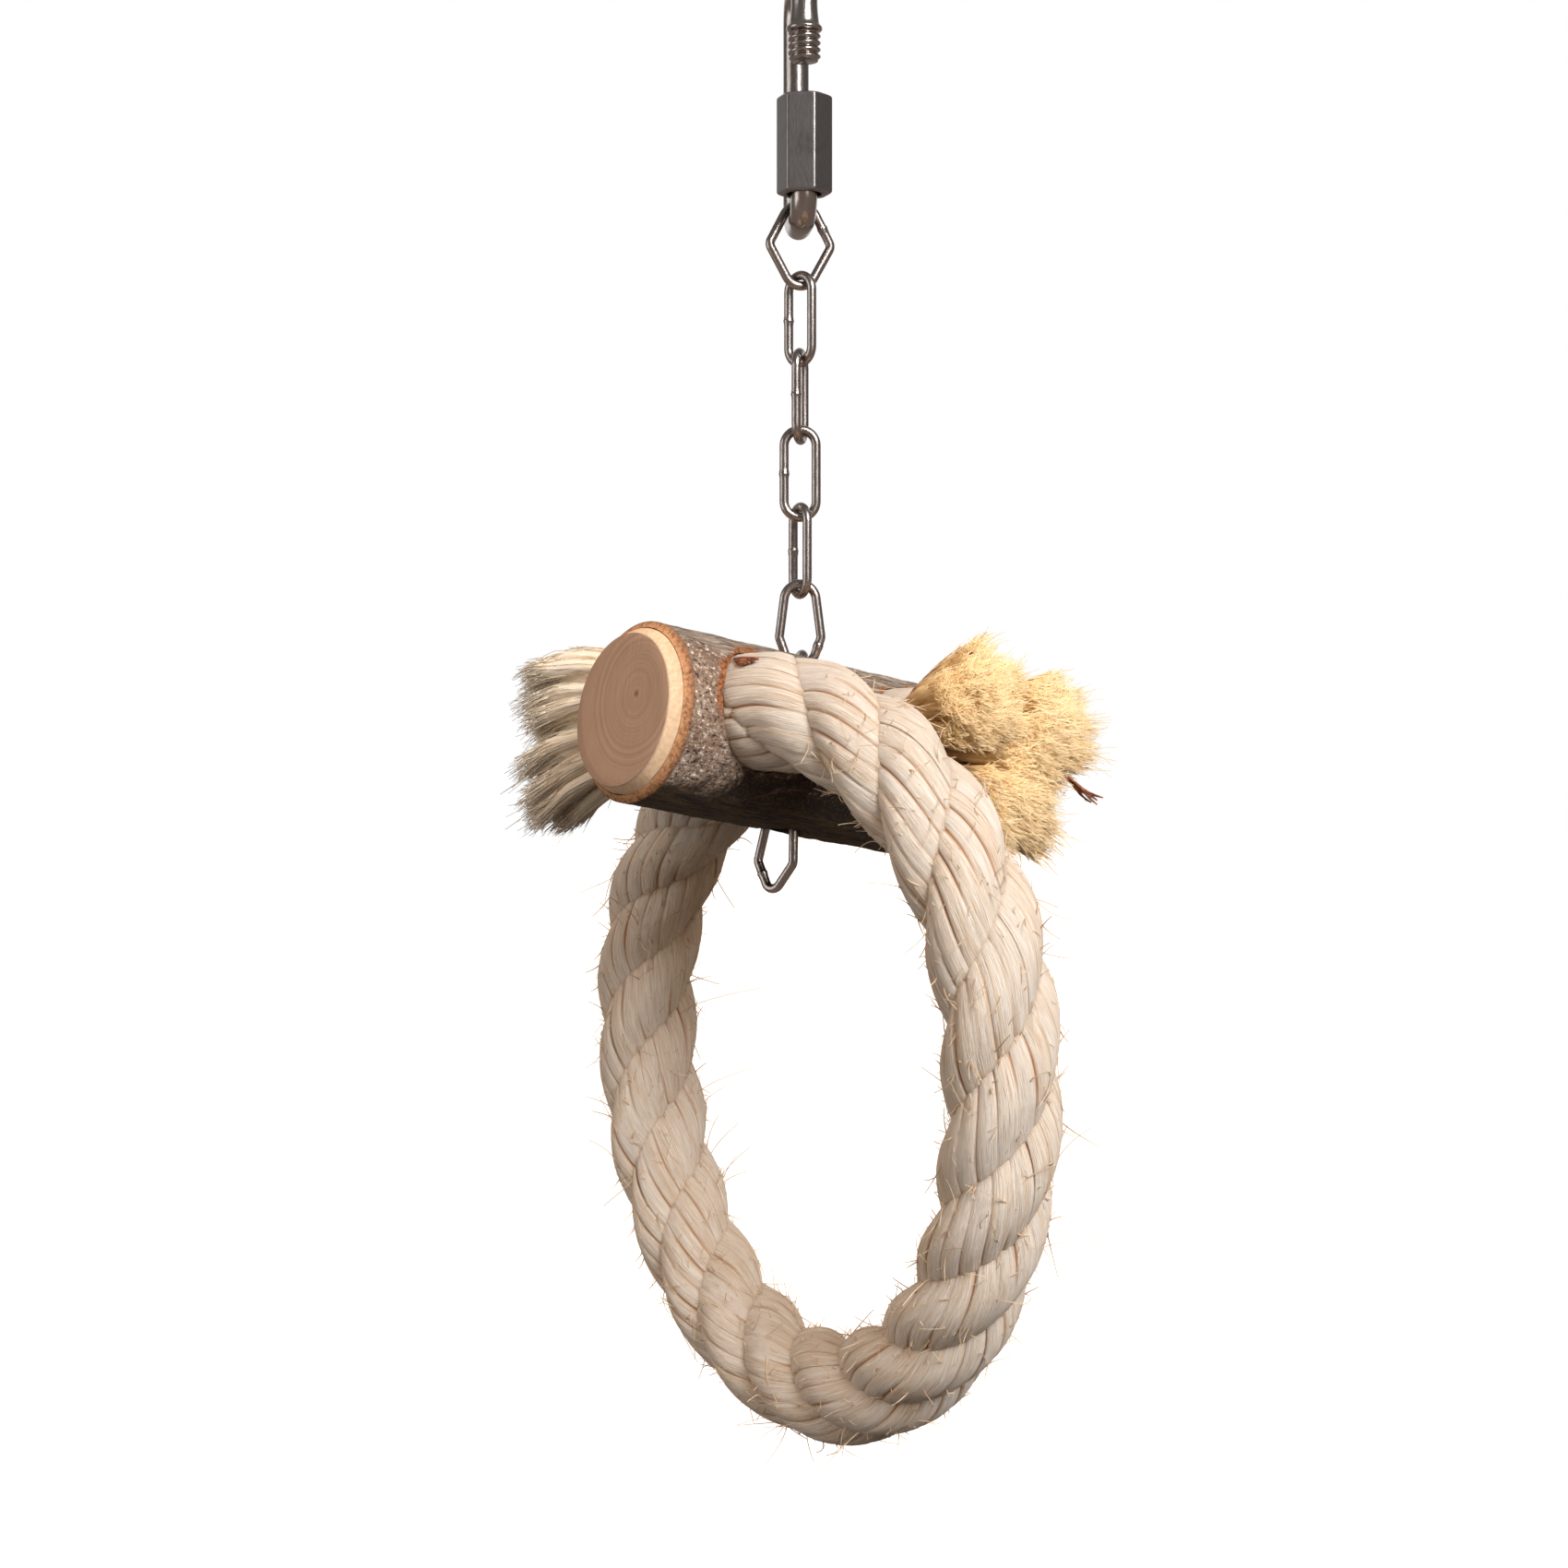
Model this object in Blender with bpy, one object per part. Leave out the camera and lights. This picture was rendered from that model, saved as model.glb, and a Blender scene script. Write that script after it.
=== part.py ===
"""Sisal ring bird swing: a screw quick link, a chain, a bark-covered branch and a rope ring.

The origin is where the quick link's top bow bears on its hook. +Z is up, +X runs along
the branch, and -Y is the side on which the rope leaves the branch to start its ring.
"""

import math
import random

import bmesh
import bpy
from mathutils import Matrix, Vector

# Driving sizes, in metres and radians

GAP = 0.0003

QUICK_LINK_ROD = 0.007
QUICK_LINK_INNER_LENGTH = 0.057
QUICK_LINK_INNER_WIDTH = 0.015
QUICK_LINK_BEND = 0.008
QUICK_LINK_TURN = math.radians(-122.5)
THREAD_DIAMETER = 0.0087
THREAD_CHAMFER = 0.0006
UPPER_THREAD_LENGTH = 0.008
COLLAR_DIAMETER = 0.0096
COLLAR_HEIGHT = 0.0012
NECK_DIAMETER = 0.0082
MOUTH_TOP_DROP = 0.0105
NUT_ACROSS_FLATS = 0.013
NUT_LENGTH = 0.0258
NUT_CHAMFER = 0.0008
NUT_CROWN_RISE = 0.0002
NUT_BELOW_BEND = 0.0023
STUB_BELOW_NUT_TOP = 0.0005
NUT_TURN = math.radians(16)

CHAIN_WIRE = 0.0025
LINK_INNER_LENGTH = 0.021
LINK_INNER_WIDTH = 0.0061
OPENED_INNER_LENGTH = 0.0191
OPENED_BEND = 0.0022
TOP_LINK_WIDTH = 0.0192
TOP_LINK_SHOULDER = 0.0094
STOP_LINK_WIDTH = 0.0136
STOP_LINK_SHOULDER = 0.0128
WELD_SWELL = 1.16
WELD_LENGTH = 0.0016

# Turn of each link about the vertical, from the one above it
LINK_TURNS = tuple(
    math.radians(turn) for turn in (100, -60, -60, -76, 116, 64, -75, -75, 117)
)

# Which straight run of each link's wire has its weld, counted from the upper left one
WELD_RUNS = (3, 0, 1, 1, 0, 2, 0, 1, 1)

BRANCH_DIAMETER = 0.048
BRANCH_TILT = math.radians(9)
BRANCH_END_WALL = 0.0135
BARK_THICKNESS = 0.0021
END_BEVEL_LENGTH = 0.0042
END_BEVEL_DEPTH = 0.0052
BARK_SWELL = 0.0003
BORE_WALL = 0.0038
BORE_RISE = 0.004
TOP_LINK_SINK = 0.00225
STOP_LINK_SEAT = 0.0039

ROPE_DIAMETER = 0.03
ROPE_LAY = 0.078
ROPE_CLEARANCE = 0.0005
STRAND_GAP = 0.0004
STRAND_CROWN = 0.0105
STRAND_CORNER = 0.86
STRAND_CROWN_SHARE = 0.8
RING_HALF_WIDTH = 0.0905
RING_SHOULDER_DROP = 0.07
RING_DROP = 0.1765
RING_LEAN = math.radians(3.2)
RING_EASE = -0.3
ROPE_STANDOFF = 0.004

BACK_TUFT_LENGTH = 0.047
BACK_TUFT_ROOM = 0.006
FRONT_TUFT_LENGTH = 0.039
FRONT_TUFT_ROOM = 0.006
TUFT_FILL = 0.85
TUFT_BULGE = 0.7
TUFT_BACKING = 0.006
TUFT_BODY_SHARE = 0.62
TUFT_DOME = 0.008
FIBRE_THICKNESS = 0.62
FIBRE_SIDE_LENGTH = 0.012
FIBRE_SPREAD = 0.3
FIBRE_SHORTEST = 0.75

# Swells in the bark: how many there are round the branch, and their twist in radians per metre
BARK_WAVES = ((3, 90), (5, -140))

# Counts and steps

UPPER_LINKS = 6
WIRE_SIDES = 8
ROD_SIDES = 12
ARC_STEP = math.radians(36)
SEAT_ARC_STEP = math.radians(4.5)
ROD_ARC_STEP = math.radians(22.5)
BRANCH_SIDES = 32
BARK_RINGS = 10
ROPE_BORE_SIDES = 32
CHAIN_BORE_SIDES = 24
NUT_SIDES = 24
STRANDS = 3
STATIONS_PER_LAY = 9
CROWN_POINTS = 5
FLANK_SHARES = (0.5, 1)
TUFT_SIDE_RINGS = 3
TUFT_CAP_SHARES = (0.78, 0.54, 0.28)
RING_SAMPLES = 160
SMOOTH_LIMIT = math.radians(40)
FIBRE_SEED = 7

# Sizes that follow from the driving sizes

WIRE_RADIUS = CHAIN_WIRE / 2
LINK_BEND = LINK_INNER_WIDTH / 2 + WIRE_RADIUS
ROPE_RADIUS = ROPE_DIAMETER / 2
ROPE_BORE = ROPE_DIAMETER + 2 * ROPE_CLEARANCE
BRANCH_RADIUS = BRANCH_DIAMETER / 2
BORE_END = BRANCH_RADIUS + ROPE_CLEARANCE
HIDDEN_LINK_LENGTH = (BRANCH_DIAMETER - TOP_LINK_SINK - STOP_LINK_SEAT) / 2 + GAP


# Scene helpers


def clear_scene():
    for item in list(bpy.data.objects):
        bpy.data.objects.remove(item)


def finish(name, colour, roughness, metallic):
    """A Principled material with one colour, roughness and metallic value."""
    material = bpy.data.materials.new(name)
    material.use_nodes = True
    shader = material.node_tree.nodes["Principled BSDF"]
    shader.inputs["Base Color"].default_value = (*colour, 1)
    shader.inputs["Roughness"].default_value = roughness
    shader.inputs["Metallic"].default_value = metallic
    return material


def add_object(name, points, faces, material, parent=None, location=(0, 0, 0), rotation=(0, 0, 0)):
    """A closed mesh object with its faces pointing out."""
    mesh = bpy.data.meshes.new(name)
    shape = bmesh.new()
    corners = [shape.verts.new(point) for point in points]
    for face in faces:
        shape.faces.new([corners[index] for index in face])
    bmesh.ops.recalc_face_normals(shape, faces=shape.faces[:])
    shape.to_mesh(mesh)
    shape.free()
    mesh.shade_smooth()
    mesh.set_sharp_from_angle(angle=SMOOTH_LIMIT)
    mesh.materials.append(material)
    item = bpy.data.objects.new(name, mesh)
    bpy.context.collection.objects.link(item)
    item.parent = parent
    item.location = location
    item.rotation_euler = rotation
    return item


def add_cutter(name, radius, length, sides, location, rotation, parent):
    """A hidden cylinder that cuts a bore along its own Z axis."""
    points, faces = loft([ring_of(radius, sides, height) for height in (-length / 2, length / 2)])
    cutter = add_object(name, points, faces, None, parent, location, rotation)
    cutter.hide_render = True
    cutter.display_type = "WIRE"
    return cutter


def ring_of(radius, sides, height):
    steps = [math.tau * side / sides for side in range(sides)]
    return [Vector((radius * math.cos(a), radius * math.sin(a), height)) for a in steps]


def loft(rings, closed=False):
    """Points and faces that join rings of equal length, with both ends capped unless it closes."""
    points = [point for ring in rings for point in ring]
    sides = len(rings[0])
    faces = []
    for row in range(len(rings) if closed else len(rings) - 1):
        below = row * sides
        above = (row + 1) % len(rings) * sides
        for side in range(sides):
            after = (side + 1) % sides
            faces.append((below + side, below + after, above + after, above + side))
    if not closed:
        faces.append(tuple(range(sides)))
        faces.append(tuple(range(len(points) - sides, len(points))))
    return points, faces


# Wire work


def belt(circles, step):
    """The closed line round circles (x, z, radius) in anticlockwise order, and each run's middle."""
    normals = []
    for here, there in zip(circles, circles[1:] + circles[:1]):
        away = Vector((there[0] - here[0], there[1] - here[1]))
        lean = math.acos((here[2] - there[2]) / away.length)
        normals.append(math.atan2(away.y, away.x) - lean)
    line = []
    middles = []
    for index, (x, z, radius) in enumerate(circles):
        start = normals[index - 1]
        turn = (normals[index] - start) % math.tau
        count = max(1, math.ceil(turn / step))
        angles = [start + turn * part / count for part in range(count + 1)]
        line += [Vector((x + radius * math.cos(a), 0, z + radius * math.sin(a))) for a in angles]
        following = circles[(index + 1) % len(circles)]
        leave = Vector((math.cos(normals[index]), 0, math.sin(normals[index])))
        begin = Vector((x, 0, z)) + leave * radius
        end = Vector((following[0], 0, following[1])) + leave * following[2]
        middles.append((len(line), (begin + end) / 2, (end - begin).normalized()))
    return line, middles


def wire_ring(centre, along, radius, sides):
    """Points round a wire that lies in the XZ plane."""
    across = Vector((along.z, 0, -along.x))
    steps = [math.tau * (side + 0.5) / sides for side in range(sides)]
    return [centre + radius * (math.cos(a) * across + math.sin(a) * Vector((0, 1, 0))) for a in steps]


def directions(line):
    """The line's direction at each point of a closed line."""
    return [(line[(i + 1) % len(line)] - line[i - 1]).normalized() for i in range(len(line))]


def link_circles(inner_length, hook_radius, width=None, shoulder=None):
    """Circles that a link's centre line runs round, with its hook's centre at the origin."""
    top = hook_radius + GAP
    crown = max(LINK_BEND, top + WIRE_RADIUS)
    bottom = top - inner_length
    upper = (0, top + WIRE_RADIUS - crown, crown)
    lower = (0, bottom - WIRE_RADIUS + LINK_BEND, LINK_BEND)
    if width is None:
        return [upper, lower]
    reach = width / 2 - WIRE_RADIUS - OPENED_BEND
    left = (-reach, top - shoulder, OPENED_BEND)
    right = (reach, top - shoulder, OPENED_BEND)
    return [upper, left, lower, right]


def chain_link(name, circles, weld_run, material, parent, location, turn):
    """A link of round wire, with the swelling of its weld on one run."""
    line, middles = belt(circles, ARC_STEP)
    radii = [WIRE_RADIUS] * len(line)
    place, middle, along = middles[weld_run]
    for shift, swell in ((1, 1), (0, WELD_SWELL), (-1, 1)):
        line.insert(place, middle + along * WELD_LENGTH * shift)
        radii.insert(place, WIRE_RADIUS * swell)
    rings = [
        wire_ring(centre, along, radius, WIRE_SIDES)
        for centre, along, radius in zip(line, directions(line), radii)
    ]
    points, faces = loft(rings, closed=True)
    return add_object(name, points, faces, material, parent, location, (0, 0, turn))


def link_step(inner_length, hook_radius):
    """How far a link's lower wire centre lies below its hook's centre."""
    return inner_length - hook_radius - GAP + WIRE_RADIUS


# Quick link


def quick_link_sections():
    """(centre, radius) along the rod, from the mouth's upper end to its lower end, and the nut's top."""
    rod = QUICK_LINK_ROD / 2
    thread = THREAD_DIAMETER / 2
    limb = QUICK_LINK_INNER_WIDTH / 2 + rod
    top = rod
    bottom = -QUICK_LINK_INNER_LENGTH - rod
    collar_top = -MOUTH_TOP_DROP
    collar_bottom = collar_top - COLLAR_HEIGHT
    mouth_top = collar_bottom - UPPER_THREAD_LENGTH
    thread_foot = bottom + QUICK_LINK_BEND
    nut_top = thread_foot - NUT_BELOW_BEND + NUT_LENGTH
    stub_top = nut_top - STUB_BELOW_NUT_TOP
    straight = [
        (mouth_top, thread - THREAD_CHAMFER),
        (mouth_top + THREAD_CHAMFER, thread),
        (collar_bottom - THREAD_CHAMFER, thread),
        (collar_bottom, COLLAR_DIAMETER / 2),
        (collar_top, COLLAR_DIAMETER / 2),
        (collar_top + THREAD_CHAMFER, NECK_DIAMETER / 2),
    ]
    sections = [(Vector((limb, 0, height)), radius) for height, radius in straight]
    corners = [
        (limb - QUICK_LINK_BEND, top - QUICK_LINK_BEND, 0),
        (QUICK_LINK_BEND - limb, top - QUICK_LINK_BEND, 1),
        (QUICK_LINK_BEND - limb, bottom + QUICK_LINK_BEND, 2),
        (limb - QUICK_LINK_BEND, bottom + QUICK_LINK_BEND, 3),
    ]
    steps = math.ceil(math.pi / 2 / ROD_ARC_STEP)
    for x, z, quarter in corners:
        for step in range(steps + 1):
            a = math.pi / 2 * (quarter + step / steps)
            centre = Vector((x + QUICK_LINK_BEND * math.cos(a), 0, z + QUICK_LINK_BEND * math.sin(a)))
            sections.append((centre, rod))
    lower = [
        (thread_foot + THREAD_CHAMFER, thread),
        (stub_top - THREAD_CHAMFER, thread),
        (stub_top, thread - THREAD_CHAMFER),
    ]
    sections += [(Vector((limb, 0, height)), radius) for height, radius in lower]
    return sections, nut_top


def quick_link(material):
    """The bent rod with its two threaded ends. Its nut limb is at local +X."""
    sections, nut_top = quick_link_sections()
    centres = [centre for centre, radius in sections]
    rings = []
    for index, (centre, radius) in enumerate(sections):
        before = centres[max(index - 1, 0)]
        after = centres[min(index + 1, len(centres) - 1)]
        rings.append(wire_ring(centre, (after - before).normalized(), radius, ROD_SIDES))
    points, faces = loft(rings)
    turn = (0, 0, QUICK_LINK_TURN)
    body = add_object("quick_link_body", points, faces, material, rotation=turn)
    return body, nut_top


def quick_link_nut(material, body, nut_top):
    """The long hexagonal nut, screwed down so that the mouth is open."""
    limb = (QUICK_LINK_INNER_WIDTH + QUICK_LINK_ROD) / 2
    bore = THREAD_DIAMETER / 2 + GAP
    flat = NUT_ACROSS_FLATS / 2
    steps = [math.tau * side / NUT_SIDES for side in range(NUT_SIDES)]
    sector = math.tau / 6
    hexagon = [flat / math.cos(a % sector - sector / 2) for a in steps]
    crown = [min(radius, flat + NUT_CROWN_RISE) for radius in hexagon]
    eye = [bore] * NUT_SIDES
    levels = [
        (0, eye),
        (0, crown),
        (-NUT_CHAMFER, hexagon),
        (NUT_CHAMFER - NUT_LENGTH, hexagon),
        (-NUT_LENGTH, crown),
        (-NUT_LENGTH, eye),
    ]
    rings = [
        [Vector((r * math.cos(a), r * math.sin(a), height)) for r, a in zip(radii, steps)]
        for height, radii in levels
    ]
    points, faces = loft(rings, closed=True)
    place = (limb, 0, nut_top)
    return add_object("quick_link_nut", points, faces, material, body, place, (0, 0, NUT_TURN))


# Branch


def seat_half_width(circles, drop):
    """The outer half width of an opened link at a depth below its hook's centre."""
    line, _ = belt(circles, SEAT_ARC_STEP)
    pairs = zip(line, line[1:] + line[:1])
    crossings = [
        abs(a.x + (b.x - a.x) * (-drop - a.z) / (b.z - a.z))
        for a, b in pairs
        if (a.z + drop) * (b.z + drop) < 0
    ]
    return max(crossings) + WIRE_RADIUS


def branch_profile(radius, half_length):
    """The radius of the sawn end face, and how far along its bevel meets the given radius."""
    slope = END_BEVEL_LENGTH / END_BEVEL_DEPTH
    face = BRANCH_RADIUS - END_BEVEL_DEPTH
    shoulder = half_length - (radius - face) * slope
    return face, shoulder


def turned_rings(stations):
    """Rings about the X axis at (x, radius, swell) stations, where the swell is the bark's."""
    rings = []
    for x, radius, swell in stations:
        ring = []
        for side in range(BRANCH_SIDES):
            a = math.tau * side / BRANCH_SIDES
            waves = [math.sin(count * a + twist * x) for count, twist in BARK_WAVES]
            r = radius + swell * sum(waves) / len(waves)
            ring.append(Vector((x, r * math.cos(a), r * math.sin(a))))
        rings.append(ring)
    return rings


def branch(wood_finish, bark_finish, swing, centre, bore_centre, chain_bore, bore_offset):
    """The wood and its bark sleeve, both bored for the chain and twice for the rope."""
    half = bore_offset + ROPE_BORE / 2 + BRANCH_END_WALL
    wood_radius = BRANCH_RADIUS - BARK_THICKNESS - GAP
    face, wood_shoulder = branch_profile(wood_radius, half)
    stations = [(-half, face, 0), (-wood_shoulder, wood_radius, 0)]
    stations += [(-x, r, s) for x, r, s in reversed(stations)]
    points, faces = loft(turned_rings(stations))
    turn = (0, BRANCH_TILT, 0)
    wood = add_object("branch_wood", points, faces, wood_finish, swing, centre, turn)

    inner = BRANCH_RADIUS - BARK_THICKNESS
    _, inner_end = branch_profile(inner, half)
    _, outer_end = branch_profile(BRANCH_RADIUS - BARK_SWELL, half)
    spots = [-outer_end + 2 * outer_end * ring / BARK_RINGS for ring in range(BARK_RINGS + 1)]
    outside = [(x, BRANCH_RADIUS - BARK_SWELL, BARK_SWELL) for x in spots]
    inside = [(inner_end, inner, 0), (-inner_end, inner, 0)]
    points, faces = loft(turned_rings(outside + inside), closed=True)
    bark = add_object("branch_bark", points, faces, bark_finish, swing, centre, turn)

    reach = 2 * BRANCH_DIAMETER
    along = Matrix.Rotation(BRANCH_TILT, 3, "Y") @ Vector((bore_offset, 0, 0))
    cutters = [add_cutter("chain_bore", chain_bore / 2, reach, CHAIN_BORE_SIDES, centre, turn, swing)]
    level = (math.pi / 2, 0, 0)
    for name, offset in (("rope_bore_near", -along), ("rope_bore_far", along)):
        place = bore_centre + offset
        cutters.append(add_cutter(name, ROPE_BORE / 2, reach, ROPE_BORE_SIDES, place, level, swing))
    for piece in (wood, bark):
        for cutter in cutters:
            cut = piece.modifiers.new(cutter.name, "BOOLEAN")
            cut.object = cutter
            cut.operation = "DIFFERENCE"
            cut.solver = "EXACT"
    return along


# Rope


def rope_route(along):
    """Points from the back end, through one bore, round the ring and through the other bore.

    They lie about the middle between the bores, and along is the offset of the second bore.
    """
    quarter = math.pi / 2
    samples = [quarter * step / RING_SAMPLES for step in range(RING_SAMPLES + 1)]
    wide = RING_HALF_WIDTH - BORE_END
    low = RING_DROP - RING_SHOULDER_DROP
    half = [(-BORE_END - wide * math.sin(a), RING_SHOULDER_DROP * (math.cos(a) - 1)) for a in samples]
    half += [
        (-RING_HALF_WIDTH * math.cos(a), -RING_SHOULDER_DROP - low * math.sin(a)) for a in samples[1:]
    ]
    ring = half + [(-y, z) for y, z in reversed(half[:-1])]
    lengths = [0]
    for (y, z), (next_y, next_z) in zip(ring, ring[1:]):
        lengths.append(lengths[-1] + math.hypot(next_y - y, next_z - z))
    end = BRANCH_RADIUS + ROPE_STANDOFF
    route = [Vector((0, end, 0)) - along]
    for (y, z), length in zip(ring, lengths):
        turn = math.tau * length / lengths[-1]
        share = (turn - RING_EASE * math.sin(turn)) / math.pi - 1
        route.append(Vector((-z * math.tan(RING_LEAN), y, z)) + along * share)
    route.append(Vector((0, -end, 0)) + along)
    return route


def even_stations(route):
    """(place, direction, length so far) at even steps along a route."""
    lengths = [0]
    for here, there in zip(route, route[1:]):
        lengths.append(lengths[-1] + (there - here).length)
    count = round(lengths[-1] / ROPE_LAY * STATIONS_PER_LAY)
    stations = []
    run = 0
    for step in range(count + 1):
        target = lengths[-1] * step / count
        while run < len(route) - 2 and lengths[run + 1] < target:
            run += 1
        span = route[run + 1] - route[run]
        place = route[run] + span * ((target - lengths[run]) / span.length)
        stations.append((place, target))
    places = [place for place, _ in stations]
    result = []
    for index, (place, length) in enumerate(stations):
        before = places[max(index - 1, 0)]
        after = places[min(index + 1, count)]
        result.append((place, (after - before).normalized(), length))
    return result


def strand_profile():
    """One third of the rope's section: a wedge with a rounded crown towards its own +X."""
    lift = ROPE_RADIUS - STRAND_CROWN
    sixth = math.pi / 3
    inset = STRAND_GAP / 2

    def crown_radius(angle):
        return lift * math.cos(angle) + math.sqrt(STRAND_CROWN**2 - (lift * math.sin(angle)) ** 2)

    def flank(radius, side):
        """A point on the flat flank, half a gap inside the third's edge."""
        edge = Vector((math.cos(sixth), side * math.sin(sixth)))
        inward = Vector((math.sin(sixth), -side * math.cos(sixth)))
        return edge * radius + inward * inset

    valley = crown_radius(sixth) * STRAND_CORNER
    tip = Vector((inset / math.sin(sixth), 0))
    low = [flank(share * valley, -1) for share in FLANK_SHARES]
    high = [flank(share * valley, 1) for share in reversed(FLANK_SHARES)]
    spread = sixth * STRAND_CROWN_SHARE
    angles = [spread * (2 * step / (CROWN_POINTS - 1) - 1) for step in range(CROWN_POINTS)]
    crown = [Vector((math.cos(a), math.sin(a))) * crown_radius(a) for a in angles]
    return [tip] + low + crown + high


def rope_axes(direction):
    """Two axes across the rope, which keep the same sense all along it."""
    across = Vector((1, 0, 0))
    across = (across - direction * across.dot(direction)).normalized()
    return across, direction.cross(across)


def strand_turn(length, index):
    """The angle of a strand's middle about the rope, for a right-hand lay."""
    return math.tau * (length / ROPE_LAY + index / STRANDS)


def placed_profile(profile, place, direction, turn, scale=1):
    across, up = rope_axes(direction)
    ring = []
    for point in profile:
        spun = Matrix.Rotation(turn, 2) @ point * scale
        ring.append(place + across * spun.x + up * spun.y)
    return ring


def strand_faces(profile, rows):
    """Triangles whose diagonals run from the inner point of a row to the outer one of the next.

    Neighbouring strands then have matching facets, so that the gap between them stays even.
    """
    sides = len(profile)
    faces = [tuple(range(sides)), tuple(range((rows - 1) * sides, rows * sides))]
    for row in range(rows - 1):
        for side in range(sides):
            after = (side + 1) % sides
            a, b = row * sides + side, row * sides + after
            c, d = b + sides, a + sides
            if profile[side].length < profile[after].length:
                faces += [(a, b, c), (a, c, d)]
            else:
                faces += [(a, b, d), (b, c, d)]
    return faces


def rope(materials, swing, centre, stations):
    """The rope's three strands, laid round each other."""
    profile = strand_profile()
    faces = strand_faces(profile, len(stations))
    for index in range(STRANDS):
        points = []
        for place, direction, length in stations:
            points += placed_profile(profile, place, direction, strand_turn(length, index))
        add_object(f"rope_strand_{index + 1}", points, faces, materials[index], swing, centre)


# Frayed ends


def lobe_rings(profile, turn, length, spread):
    """Rings of a frayed strand that widens from the rope's end, in the end's own axes (x, y, out)."""
    body = length * TUFT_BODY_SHARE
    focus = length * ROPE_RADIUS / (spread - ROPE_RADIUS)
    spun = [Matrix.Rotation(turn, 2) @ point for point in profile]
    heights = [GAP, TUFT_BACKING]
    heights += [
        TUFT_BACKING + (body - TUFT_BACKING) * (ring + 1) / TUFT_SIDE_RINGS for ring in range(TUFT_SIDE_RINGS)
    ]
    rings = []
    for height in heights:
        scale = 1 + (spread / ROPE_RADIUS - 1) * (height / length) ** TUFT_BULGE
        rings.append([(point * scale, height) for point in spun])
    rim = [point for point, height in rings[-1]]
    middle = sum(rim, Vector((0, 0))) / len(rim)
    for share in TUFT_CAP_SHARES:
        height = body + TUFT_DOME * (1 - share**2)
        rings.append([(middle + (point - middle) * share, height) for point in rim])
    return rings, (middle, body + TUFT_DOME), focus


def add_fibre(points, faces, face, middle, tip):
    """Raises a pointed fibre on a face, and leaves a rim round its root."""
    start = len(points)
    points += [middle + (points[index] - middle) * FIBRE_THICKNESS for index in face]
    points.append(tip)
    count = len(face)
    for index in range(count):
        after = (index + 1) % count
        faces.append((face[index], face[after], start + after, start + index))
        faces.append((start + index, start + after, start + count))


def frayed_lobe(name, material, swing, centre, end, turn, length, spread, seed):
    """A frayed strand: a spreading body with fibres that fan out from its end and its outside."""
    place, outward = end
    across, up = rope_axes(outward)
    profile = strand_profile()
    rings, peak, focus = lobe_rings(profile, turn, length, spread)
    sides = len(profile)
    draw = random.Random(seed)
    flat = [item for ring in rings for item in ring] + [peak]
    points = [Vector((point.x, point.y, height)) for point, height in flat]
    faces = [tuple(range(sides))]
    fibres = []
    first_cap = len(rings) - len(TUFT_CAP_SHARES) - 1
    crown = range(len(FLANK_SHARES), len(FLANK_SHARES) + CROWN_POINTS + 1)
    for row in range(len(rings) - 1):
        for side in range(sides):
            after = (side + 1) % sides
            below, above = row * sides, (row + 1) * sides
            face = (below + side, below + after, above + after, above + side)
            on_cap = row >= first_cap
            on_crown = row >= 1 and side in crown
            (fibres if on_cap or on_crown else faces).append(face)
    top = (len(rings) - 1) * sides
    for side in range(sides):
        fibres.append((top + side, top + (side + 1) % sides, len(points) - 1))
    source = Vector((0, 0, -focus))
    cap_reach = length - length * TUFT_BODY_SHARE - TUFT_DOME / 2
    for face in fibres:
        middle = sum((points[index] for index in face), Vector()) / len(face)
        away = (middle - source).normalized()
        reach = cap_reach
        if face[0] < first_cap * sides:
            radial = Vector((middle.x, middle.y, 0)).normalized()
            away = (away + radial * FIBRE_SPREAD).normalized()
            reach = FIBRE_SIDE_LENGTH
        reach *= draw.uniform(FIBRE_SHORTEST, 1)
        add_fibre(points, faces, face, middle, middle + away * reach)
    world = [place + across * p.x + up * p.y + outward * p.z for p in points]
    add_object(name, world, faces, material, swing, centre)


def frayed_ends(material, swing, centre, stations, bore_offset):
    """Three frayed strands at each end of the rope, which keep it from slipping out."""
    first, last = stations[0], stations[-1]
    ends = [
        ("back", (first[0], -first[1]), first[2], BACK_TUFT_LENGTH, BACK_TUFT_ROOM, -1),
        ("front", (last[0], last[1]), last[2], FRONT_TUFT_LENGTH, FRONT_TUFT_ROOM, 1),
    ]
    for side, end, length, reach, room, sense in ends:
        spread = (2 * bore_offset - ROPE_RADIUS - room) / TUFT_FILL
        for index in range(STRANDS):
            turn = strand_turn(length, index)
            if sense < 0:
                turn = -turn
            name = f"frayed_end_{side}_{index + 1}"
            seed = FIBRE_SEED + index + STRANDS * (sense > 0)
            frayed_lobe(name, material, swing, centre, end, turn, reach, spread, seed)


# Assembly


def chain(material, body):
    """Links 1 to 6, each hung from the one above, down to the branch. Returns the last one."""
    rod = QUICK_LINK_ROD / 2
    place = Vector((0, 0, -QUICK_LINK_INNER_LENGTH - rod))
    parent = body
    hook = rod
    opened = {
        0: (OPENED_INNER_LENGTH, TOP_LINK_WIDTH, TOP_LINK_SHOULDER),
        UPPER_LINKS - 1: (OPENED_INNER_LENGTH, STOP_LINK_WIDTH, STOP_LINK_SHOULDER),
    }
    for index in range(UPPER_LINKS):
        inner_length, *shape = opened.get(index, (LINK_INNER_LENGTH,))
        circles = link_circles(inner_length, hook, *shape)
        name = f"chain_link_{index + 1}"
        weld_run = WELD_RUNS[index]
        parent = chain_link(name, circles, weld_run, material, parent, place, LINK_TURNS[index])
        place = Vector((0, 0, -link_step(inner_length, hook)))
        hook = WIRE_RADIUS
    return parent, place


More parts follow.
